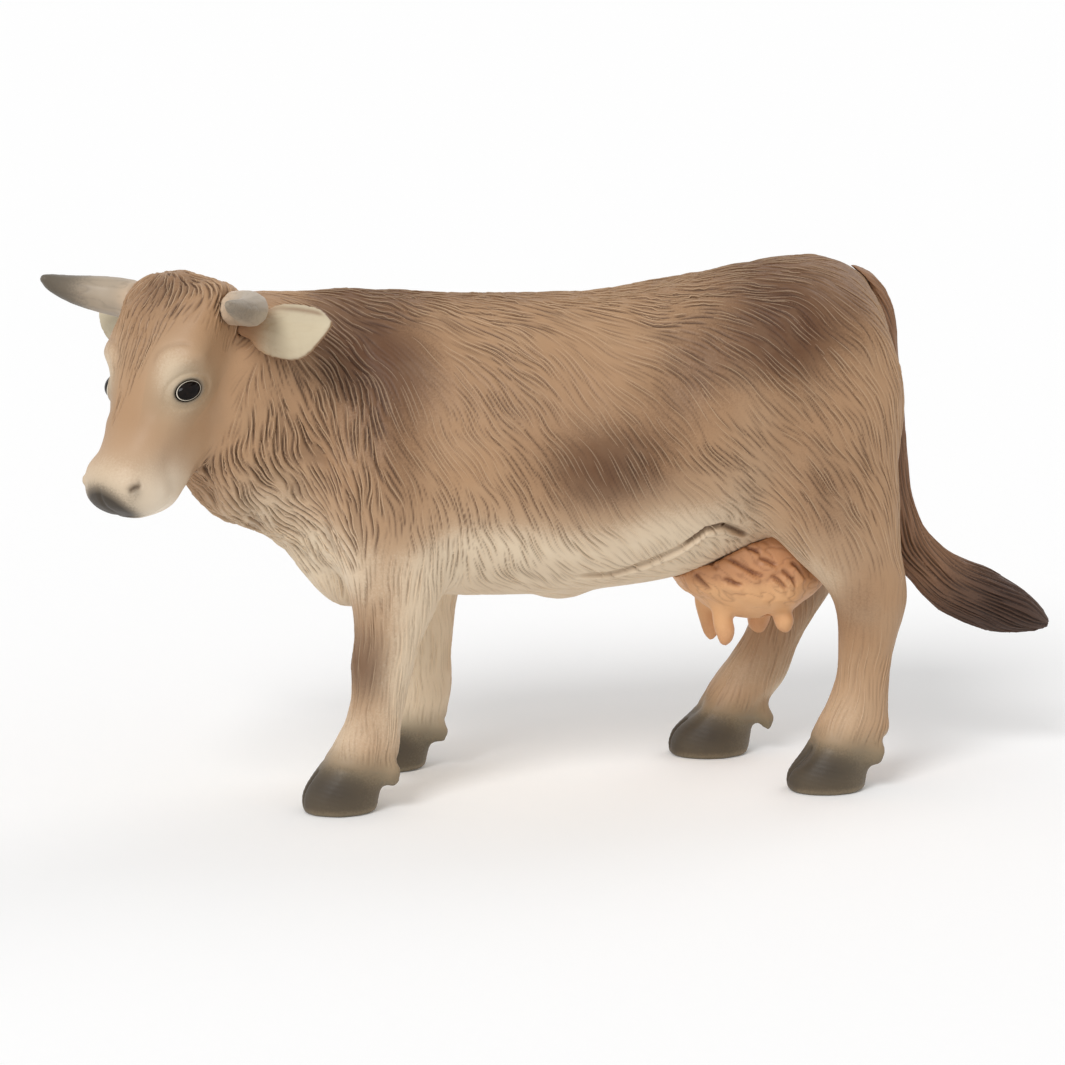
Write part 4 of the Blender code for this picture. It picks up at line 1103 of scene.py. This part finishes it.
def make_hide(material):
    points, faces = fused_skin(HIDE_NODES, SEAM_CLOSING, SKIN_VOXEL)
    head = in_head(points)
    on_head = step(45, 38, head[:, 0]) * step(-14, -8, head[:, 2]) * step(16, 12, np.abs(head[:, 1]))
    weight = 1 - 0.65 * on_head - 0.78 * step(18, 12, points[:, 2])
    points = relaxed(points, face_edges(faces), int(8 / SKIN_VOXEL**2), np.clip(weight, 0.15, 1))
    points -= vertex_normals(points, faces) * (SEAM_CLOSING - 0.2)
    owners = face_owners(points, faces, HIDE_NODES)
    clay = Clay(*finer(points, faces))
    owners = np.repeat(owners, 4)
    sculpt_body(clay)
    sculpt_face(clay)
    lenses = [sculpt_eye(clay, side) for side in (-1, 1)]
    sculpt_hooves(clay)
    for side in (-1, 1):
        path = np.array([(x, MIDDLE_Y + side * out, z) for x, out, z in FOLD_PATH])
        clay.line(path - (0, 0, 0.8), 0.8, 0.50)
        clay.refresh()
        # The crease above the ridge, with dark paint in it as painted shade
        clay.line(path + (0, 0, 0.3), 0.45, -0.55, 0.15, 0.35)
        clay.line(path[3:] + (0, 0, 0.3), 0.34, -0.34, 0.12, 1.0)
    clay.refresh()
    on_head = near_head(clay.points)
    ways, strand, lock = hair_field(clay, on_head)
    for x, y in FEET.values():
        near = (np.abs(clay.points - (x, y, 6)) < (11, 8, 12)).all(axis=1)
        hairy = step(0.2, 1.6, clay.points[near][:, 2] - hoof_top(clay.points[near], x))
        strand[near] *= hairy
        lock[near] *= hairy
    bold, fine, cut = comb_hair(clay, ways, strand, lock)
    clay.refresh()
    cut *= 1 - 0.55 * step(32, 27, clay.points[:, 2]) * step(-50, -40, clay.points[:, 0])
    values = hide_values(clay, on_head, cut)
    values["lip"] = np.zeros(len(cut))
    tree = tree_of(clay.points)
    # The raised strands take the paint of the surface under them, with no dark paint of cuts and a paler tone
    # as painted highlight
    plain = {**values, "cut": cut * 0, "lip": cut * 0 + 1}
    for name, lines, thick, gap in (("bold", bold, 0.15, 0.34), ("fine", fine, 0.10, 0.27)):
        shown = lines[np.arange(len(lines)) % 5 < (5 if name == "bold" else 3)]
        lines = beside(shown[:, ::2], clay, tree, gap, 0.02)
        for side, part in (("left", lines[:, 0, 1] < MIDDLE_Y), ("right", lines[:, 0, 1] >= MIDDLE_Y)):
            raised_strands(
                f"{side}_{name}_hair", lines[part], "raised_hair", material, thick, 9, 5, 5, clay,
                plain
            )
    centres = clay.points[clay.faces].mean(axis=1)
    torso = owners == 0
    owners[torso & (centres[:, 1] > MIDDLE_Y)] = len(HIDE_NODES)
    owners[torso & (centres[:, 0] > TORSO_SPLIT_X)] += 10
    table = edge_table(clay.faces, len(clay.points))
    names = {number: (f"{node}_hide", node) for number, node in enumerate(HIDE_NODES)}
    names[0] = ("torso_left_front_hide", "torso")
    names[10] = ("torso_left_rear_hide", "torso")
    names[len(HIDE_NODES)] = ("torso_right_front_hide", "torso")
    names[len(HIDE_NODES) + 10] = ("torso_right_rear_hide", "torso")
    for number, (name, node) in names.items():
        finished(name, closed_part(name, clay, owners, number, values, table), material, [node])
    return lenses


LENS_RISE = 1.25
LENS_SINK = 0.62
LENS_SPREAD = 1.12

# The paint on the right lens is drawn as if each point were nearer to the middle, by this factor
RIGHT_PAINT_REACH = 0.86


def make_eye(name, side, middle, material):
    """A domed lens that fills an eye's opening."""
    _, along, across, out = eye_frame(side)
    turn = np.linspace(0, 2 * math.pi, 40, endpoint=False)
    rows, reach = [], []
    for tilt in np.linspace(-math.pi / 2, math.pi / 2, 19)[1:-1]:
        size, rise = math.cos(tilt), math.sin(tilt)
        ring = middle + np.outer(np.cos(turn) * size * EYE_HALF[0] * LENS_SPREAD, along)
        ring = ring + np.outer(np.sin(turn) * size * EYE_HALF[1] * LENS_SPREAD, across)
        ring = ring + out * (rise * LENS_RISE - LENS_SINK)
        rows.append(ring)
        reach += [size * LENS_SPREAD] * len(turn)
    count, size = len(rows), len(turn)
    points = np.vstack((
        *rows, middle - out * (LENS_RISE + LENS_SINK), middle + out * (LENS_RISE - LENS_SINK)
    ))
    reach += [0.0, 0.0]
    faces = []
    for i in range(count - 1):
        for k in range(size):
            j = (k + 1) % size
            faces.append((i * size + k, i * size + j, (i + 1) * size + j, (i + 1) * size + k))
    for k in range(size):
        j = (k + 1) % size
        faces.append((count * size, j, k, -1))
        faces.append((count * size + 1, (count - 1) * size + k, (count - 1) * size + j, -1))
    mesh = new_mesh(name, points, np.array(faces))
    give_values(mesh, {"reach": np.array(reach) * (1.0 if side > 0 else RIGHT_PAINT_REACH)})
    finished(name, mesh, material)


# Horns, ears, udder and tail


def small_clay(node, grow, voxel, passes, weight=None):
    points, faces = fused_skin([node], grow, voxel)
    share = 1.0 if weight is None else weight(points)
    return Clay(relaxed(points, face_edges(faces), passes, share), faces)


def comb(clay, ways, cell, reach, depth, seed, width=0.4):
    """Cuts lines along the ways, and gives the cuts as a share."""
    depth = np.broadcast_to(depth, len(clay.points))
    lines = strand_noise(clay.points, flattened(ways, clay.normals), cell, reach, seed)
    cut = np.exp(-((lines / width) ** 2))
    clay.points += clay.normals * (-depth * cut)[:, None]
    return cut * np.clip(depth / max(depth.max(), 1e-6), 0, 1)


HORN_ROOT = (2.7, 6.1, -1.6)
HORN_TIP = (5.0, 18.4, 7.2)

# The left horn curls a little further forward: how its middle and its tip move
HORN_BOW = (-0.82, 0.51, -0.28)
HORN_CURL = (-0.71, -0.9, 0.84)

# The way in which a horn is flattened, and by what share on the left and on the right
HORN_FLAT = (-0.945, -0.072, 0.317)
LEFT_FLATNESS = 0.14
RIGHT_FLATNESS = 0.02

# The tip of the left horn is painted as the right one is at this share of its length
LEFT_PAINT_REACH = 0.74


def make_horn(node, side, material):
    clay = small_clay(node, 0.05, SMALL_VOXEL * 0.8, 12)
    root, tip = (head_point(down, side * left, out) for down, left, out in (HORN_ROOT, HORN_TIP))
    head = in_head(clay.points)
    along = np.clip((head[:, 1] * side - 5.6) / 13.0, 0, 1)
    ways = np.broadcast_to(unit(tip - root), clay.points.shape)
    clay.points += clay.normals * (0.22 * np.sin(np.clip(along * 1.12, 0, 1) * math.pi) ** 0.8)[:, None]
    rings = np.sin(along * 58 + lattice_noise(clay.points, 3.0, 41) * 2.0) * step(0.5, 0.1, along)
    clay.points += clay.normals * (0.05 * rings)[:, None]
    cut = comb(clay, ways, 0.9, 2.5, 0.03, 42, 0.20)
    flat = np.array(HORN_FLAT) * (1, side, 1) @ HEAD_AXES
    axis = root + np.outer(along, tip - root)
    squeeze = (LEFT_FLATNESS if side > 0 else RIGHT_FLATNESS) * step(0.06, 0.24, along)
    clay.points -= np.outer(squeeze * ((clay.points - axis) @ flat), flat)
    if side > 0:
        bend = np.outer(np.sin(along * math.pi), HORN_BOW) + np.outer(along**3, HORN_CURL)
        clay.points += bend @ HEAD_AXES
    clay.swell(clay.points[along.argmax()], 0.8, -0.2)
    clay.refresh()
    mesh = new_mesh(f"{node}_moulding", clay.points, clay.faces)
    give_values(mesh, {"along": along * (LEFT_PAINT_REACH if side > 0 else 1.0), "cut": cut * 0.5})
    finished(f"{node}_moulding", mesh, material, [node])


EAR_ROOT = (4.03, 7.14, -5.4)
EAR_WAY = (-0.05, 0.97, -0.12)

# The leaf of the ear: share of its length, then its upper and lower edge
EAR_EDGES = [
    (0.0, -2.3, 2.2), (0.15, -3.0, 2.6), (0.21, -3.4, 3.0), (0.27, -3.75, 3.15), (0.37, -4.15, 3.4),
    (0.55, -4.15, 3.6), (0.64, -3.95, 3.45), (0.72, -3.75, 3.1), (0.81, -3.35, 2.35), (0.88, -2.95, 1.6),
    (0.94, -2.4, 0.7), (0.97, -2.1, 0.1), (1.0, -1.8, -0.7),
]


def make_ear(node, side, material):
    clay = small_clay(node, 0.02, SMALL_VOXEL * 0.8, 8)
    axis = unit(np.array(EAR_WAY) * (1, side, 1)) @ HEAD_AXES
    down = HEAD_AXES[0] - axis * (axis @ HEAD_AXES[0])
    down = unit(down)
    hollow = np.cross(down, axis) * side
    root = head_point(EAR_ROOT[0], side * EAR_ROOT[1], EAR_ROOT[2])
    offset = clay.points - root
    along, spread = offset @ axis / 15.5, offset @ down
    facing = clay.normals @ hollow
    inner = step(-0.15, 0.35, facing) * step(0.05, 0.55, along)
    ways = axis + np.outer(spread * 0.10 / np.maximum(along, 0.3), down)
    rows = np.array(EAR_EDGES)
    upper, lower = (np.interp(along, rows[:, 0], rows[:, k]) for k in (1, 2))
    bins = np.clip((along * 36).astype(int), 0, 36)
    low, high = np.zeros(37), np.zeros(37)
    np.minimum.at(low, bins, spread)
    np.maximum.at(high, bins, spread)
    low, high = (np.interp(along, (np.arange(37) + 0.5) / 36, edge) for edge in (low, high))
    share = np.clip((spread - low) / np.maximum(high - low, 0.5), 0, 1)
    moved = (upper + (lower - upper) * share - spread) * step(0.12, 0.34, along)
    clay.points += np.outer(moved, down) - np.outer(0.8 * step(0.6, 1.0, along), axis)
    edge = np.exp(-(((share - 0.5) * 2) ** 4 - 1) ** 2 / 0.2)
    clay.points += np.outer(inner * 0.30 * edge, hollow)
    cut = comb(clay, ways, 0.75, 2.6, 0.09 * step(0.05, 0.25, along) * (1 - 0.9 * inner), 51, 0.30)
    clay.refresh()
    # The rim: a thin brown edge where the ear turns, and a dark band under the rolled upper rim as painted
    # shade
    rim = np.exp(-((facing / 0.45) ** 2)) * step(0.2, 0.4, along)
    rim = np.maximum(rim, 0.9 * inner * np.exp(-(((share - 0.12) / 0.06) ** 2)) * step(0.95, 0.8, along))
    mesh = new_mesh(f"{node}_moulding", clay.points, clay.faces)
    values = {"inner": inner, "rim": rim, "root": step(0.34, 0.10, along), "cut": cut}
    give_values(mesh, values)
    finished(f"{node}_moulding", mesh, material, [node])


# Wrinkles across the near side of the bag, cut on both sides, each a ridge under a groove with dark paint
# that is partly painted shade
UDDER_FOLDS = [
    [(22.0, -2.6, 32.6), (23.3, -3.0, 31.8), (24.7, -3.6, 31.1), (25.8, -4.0, 30.4), (27.8, -4.2, 29.9)],
    [(19.2, -1.6, 31.9), (20.2, -2.0, 31.2), (21.4, -2.6, 30.6)],
    [(26.8, -3.6, 32.6), (27.9, -4.0, 32.0), (29.4, -4.2, 31.3)],
    [(18.4, -1.0, 30.4), (19.4, -1.8, 29.2), (20.6, -2.4, 27.9)],
    [(24.6, -3.0, 33.8), (26.0, -3.4, 33.5), (27.2, -3.8, 33.1)],
    [(28.2, -4.2, 30.4), (29.6, -4.2, 29.3), (30.8, -4.0, 27.8)],
    [(30.0, -4.2, 31.0), (31.2, -4.1, 29.8), (32.0, -3.8, 28.4)],
    [(22.0, -2.8, 30.0), (23.2, -3.4, 29.2), (24.8, -3.9, 28.9)],
    [(31.2, -4.1, 32.0), (32.6, -3.7, 30.8), (33.4, -3.2, 29.2)],
]

# Teats: where each is, how far it moves forward or back, how far it is drawn up and how much it widens
TEATS = [
    (22.5, 0.6, 0.9, 0.0, 0.32), (21.2, 8.7, 1.4, -0.9, 0.28), (31.6, 0.8, 0.3, 1.5, 0.75),
    (30.1, 8.9, -0.6, -0.2, 0.6)
]


def make_udder(material):
    clay = small_clay("udder", 0.05, SMALL_VOXEL, 14)
    points = clay.points
    for x, y, ahead, up, wider in TEATS:
        reach = np.hypot(points[:, 0] - x, points[:, 1] - y)
        share = step(25.0, 20.5, points[:, 2]) * step(3.4, 2.4, reach)
        points[:, 0] += share * ahead + wider * share * (points[:, 0] - x)
        points[:, 1] += wider * share * (points[:, 1] - y)
        points[:, 2] += share * up
    points[:, 0] -= 1.4 * step(31.0, 36.0, points[:, 0]) * step(34.0, 30.0, points[:, 2])
    points[:, 0] -= 0.9 * step(21.5, 18.5, points[:, 0]) * step(25.5, 27.5, points[:, 2])
    clay.refresh()
    bag = step(24.5, 26.5, points[:, 2])
    ways = np.broadcast_to(np.array((0.93, 0.0, -0.36)), points.shape)
    sway = lattice_noise(points, 4.0, 61) * 0.7
    ways = turned(flattened(ways, clay.normals), clay.normals, sway)
    lumps = np.clip(strand_noise(points, ways, 2.6, 3.4, 62), -1.5, 1.5)
    clay.points = points + clay.normals * (0.16 * lumps * bag)[:, None]
    clay.refresh()
    for path in UDDER_FOLDS:
        for side in (1, -1):
            mirrored = [(x, MIDDLE_Y + side * (y - MIDDLE_Y), z) for x, y, z in path]
            clay.line([np.array(place) - (0, 0, 0.7) for place in mirrored], 0.5, 0.30, 0.25)
            clay.line(mirrored, 0.26, -0.55, 0.25, 1.0)
    clay.refresh()
    fine = comb(clay, ways, 0.8, 1.6, 0.10 * bag, 64, 0.3)
    clay.refresh()
    brown = 0.85 * step(26.5, 31.0, points[:, 2]) + 0.55 * step(24.5, 20.0, points[:, 2])
    mesh = new_mesh("udder_moulding", clay.points, clay.faces)
    give_values(mesh, {"brown": np.clip(brown, 0, 1), "cut": np.clip(clay.wash_and_shade + 0.4 * fine, 0, 1)})
    finished("udder_moulding", mesh, material, ["udder"])


TAIL_LINE = [
    (38.0, 4.8, 69.5), (41.6, 4.8, 70.3), (44.6, 4.8, 67.6),
    (46.5, 4.4, 62.5), (47.8, 3.7, 54.0), (48.4, 2.9, 45.0),
    (49.0, 2.5, 38.0), (50.6, 2.5, 32.5), (54.1, 2.5, 28.3),
    (58.6, 2.5, 25.0), (63.6, 2.5, 21.8), (68.1, 2.5, 19.4),
    (70.6, 2.5, 18.2),
]


def tail_course(points):
    """For each point, the way of the tail there and its share of the tail's length."""
    line = np.array(TAIL_LINE)
    lengths = np.linalg.norm(np.diff(line, axis=0), axis=1)
    middles = (line[1:] + line[:-1]) / 2
    shares = (np.cumsum(lengths) - lengths / 2) / lengths.sum()
    ways = unit(np.diff(line, axis=0))
    rows = np.column_stack((middles, ways, shares))
    course = blended(points, rows, 4.5)
    return unit(course[:, :3]), course[:, 3]


def make_tail(material):
    clay = small_clay("tail", 0.10, SMALL_VOXEL * 1.2, 10)
    clay = Clay(*finer(clay.points, clay.faces))
    x, z = clay.points[:, 0], clay.points[:, 2]
    nearer = 0.8 * step(68, 58, z) * step(26, 33, z)
    raised = 1.9 * step(54, 68, x)
    clay.points += np.stack((-nearer, 0 * x, raised), axis=1)
    clay.refresh()
    ways, along = tail_course(clay.points)
    sway = lattice_noise(clay.points, 5.0, 71) * 0.25
    ways = turned(flattened(ways, clay.normals), clay.normals, sway)
    tuft = step(0.50, 0.72, along)
    locks = np.clip(strand_noise(clay.points, ways, 2.2, 6.0, 72), -1.5, 1.5)
    clay.points += clay.normals * (0.16 * tuft * locks)[:, None]
    clay.refresh()
    tree = tree_of(clay.points)
    lines, cut = engrave(clay, tree, ways, 0.16 + 0.20 * tuft, 5000, 9.0, 0.55, 0.17, 73)
    clay.refresh()
    dark = np.clip(0.04 * step(0.2, 0.5, along) + 1.05 * step(0.55, 0.92, along), 0, 1)
    # The raised strands take a lighter tone than the tail under them, as painted highlight, with no dark
    # paint of cuts
    plain = {"dark": np.clip(dark - 0.10, 0, 1), "cut": cut * 0}
    lines = beside(lines[:, ::2], clay, tree, 0.30, 0.03)
    raised_strands("tail_hair", lines, "tail_strands", material, 0.13, 9, 5, 7, clay, plain)
    mesh = new_mesh("tail_moulding", clay.points, clay.faces)
    give_values(mesh, {"dark": dark, "cut": cut})
    finished("tail_moulding", mesh, material, ["tail"])


# The stand, light and camera

FLOOR_HALF = 2.0
FLOOR_GLOW = 0.05
WORLD_LIGHT = 0.60

# Lamps: name, the way that each shines from, strength, and spread in degrees
LAMPS = [
    ("key", (-0.62, -0.90, 0.90), 1.50, 24),
    ("back", (0.7, 0.6, 0.8), 0.35, 30),
]

# The photograph's view, in degrees and millimetres
CAMERA_TURN = -10.0
CAMERA_RISE = 11.1
CAMERA_DISTANCE = 600
CAMERA_AIM = (-3.43, MIDDLE_Y, 35.5)
CAMERA_LENS = 146.0


def make_floor():
    mesh = bpy.data.meshes.new("floor")
    corners = [(x * FLOOR_HALF, y * FLOOR_HALF, 0) for x, y in ((-1, -1), (1, -1), (1, 1), (-1, 1))]
    mesh.from_pydata(corners, [], [(0, 1, 2, 3)])
    floor = bpy.data.objects.new("floor", mesh)
    bpy.context.scene.collection.objects.link(floor)
    paint = Finish("floor_paint", roughness=0.9, specular_ior_level=0.0, emission_strength=FLOOR_GLOW)
    paper = paint.grain(2.0, 3.0)
    paint.set("Base Color", paint.mix(tone(252, 252, 252), tone(250, 250, 250), paper))
    paint.set("Emission Color", paint.node("LightPath", output="Is Camera Ray"))
    mesh.materials.append(paint.material)


def make_light():
    world = bpy.data.worlds.new("studio")
    world.use_nodes = True
    bpy.context.scene.world = world
    tree = world.node_tree
    tree.nodes.clear()
    rays = tree.nodes.new("ShaderNodeLightPath")
    lit = tree.nodes.new("ShaderNodeBackground")
    lit.inputs["Color"].default_value = (1.0, 1.0, 1.0, 1.0)
    lit.inputs["Strength"].default_value = WORLD_LIGHT
    seen = tree.nodes.new("ShaderNodeBackground")
    seen.inputs["Strength"].default_value = 1.0
    seen.inputs["Color"].default_value = (1.0, 1.0, 1.0, 1.0)
    either = tree.nodes.new("ShaderNodeMixShader")
    out = tree.nodes.new("ShaderNodeOutputWorld")
    shown = rays.outputs["Is Camera Ray"]
    for kind in ("Is Glossy Ray", "Is Transmission Ray"):
        larger = tree.nodes.new("ShaderNodeMath")
        larger.operation = "MAXIMUM"
        tree.links.new(shown, larger.inputs[0])
        tree.links.new(rays.outputs[kind], larger.inputs[1])
        shown = larger.outputs[0]
    tree.links.new(shown, either.inputs[0])
    tree.links.new(lit.outputs[0], either.inputs[1])
    tree.links.new(seen.outputs[0], either.inputs[2])
    tree.links.new(either.outputs[0], out.inputs[0])
    for name, way, strength, spread in LAMPS:
        lamp = bpy.data.lights.new(name, "SUN")
        lamp.energy = strength
        lamp.angle = math.radians(spread)
        obj = bpy.data.objects.new(name, lamp)
        obj.rotation_euler = Vector(way).to_track_quat("Z", "Y").to_euler()
        bpy.context.scene.collection.objects.link(obj)


def make_camera():
    turn, rise = math.radians(CAMERA_TURN), math.radians(CAMERA_RISE)
    back = Vector((math.sin(turn) * math.cos(rise), -math.cos(turn) * math.cos(rise), math.sin(rise)))
    camera = bpy.data.cameras.new("camera")
    camera.sensor_width = 36.0
    camera.lens = CAMERA_LENS
    obj = bpy.data.objects.new("camera", camera)
    obj.location = Vector(CAMERA_AIM) * MM + back * CAMERA_DISTANCE * MM
    obj.rotation_euler = back.to_track_quat("Z", "Y").to_euler()
    bpy.context.scene.collection.objects.link(obj)
    bpy.context.scene.camera = obj


def main():
    lenses = make_hide(hide_finish())
    eyes = eye_finish()
    for name, side, middle in (("left_eye", 1, lenses[1]), ("right_eye", -1, lenses[0])):
        make_eye(name, side, middle, eyes)
    horns, ears = horn_finish(), ear_finish()
    for name, side in (("left", 1), ("right", -1)):
        make_horn(f"{name}_horn", side, horns)
        make_ear(f"{name}_ear", side, ears)
    make_udder(udder_finish())
    make_tail(tail_finish())
    make_floor()
    make_light()
    make_camera()
    bpy.context.scene.view_settings.view_transform = "Standard"


main()
bpy.context.view_layer.update()
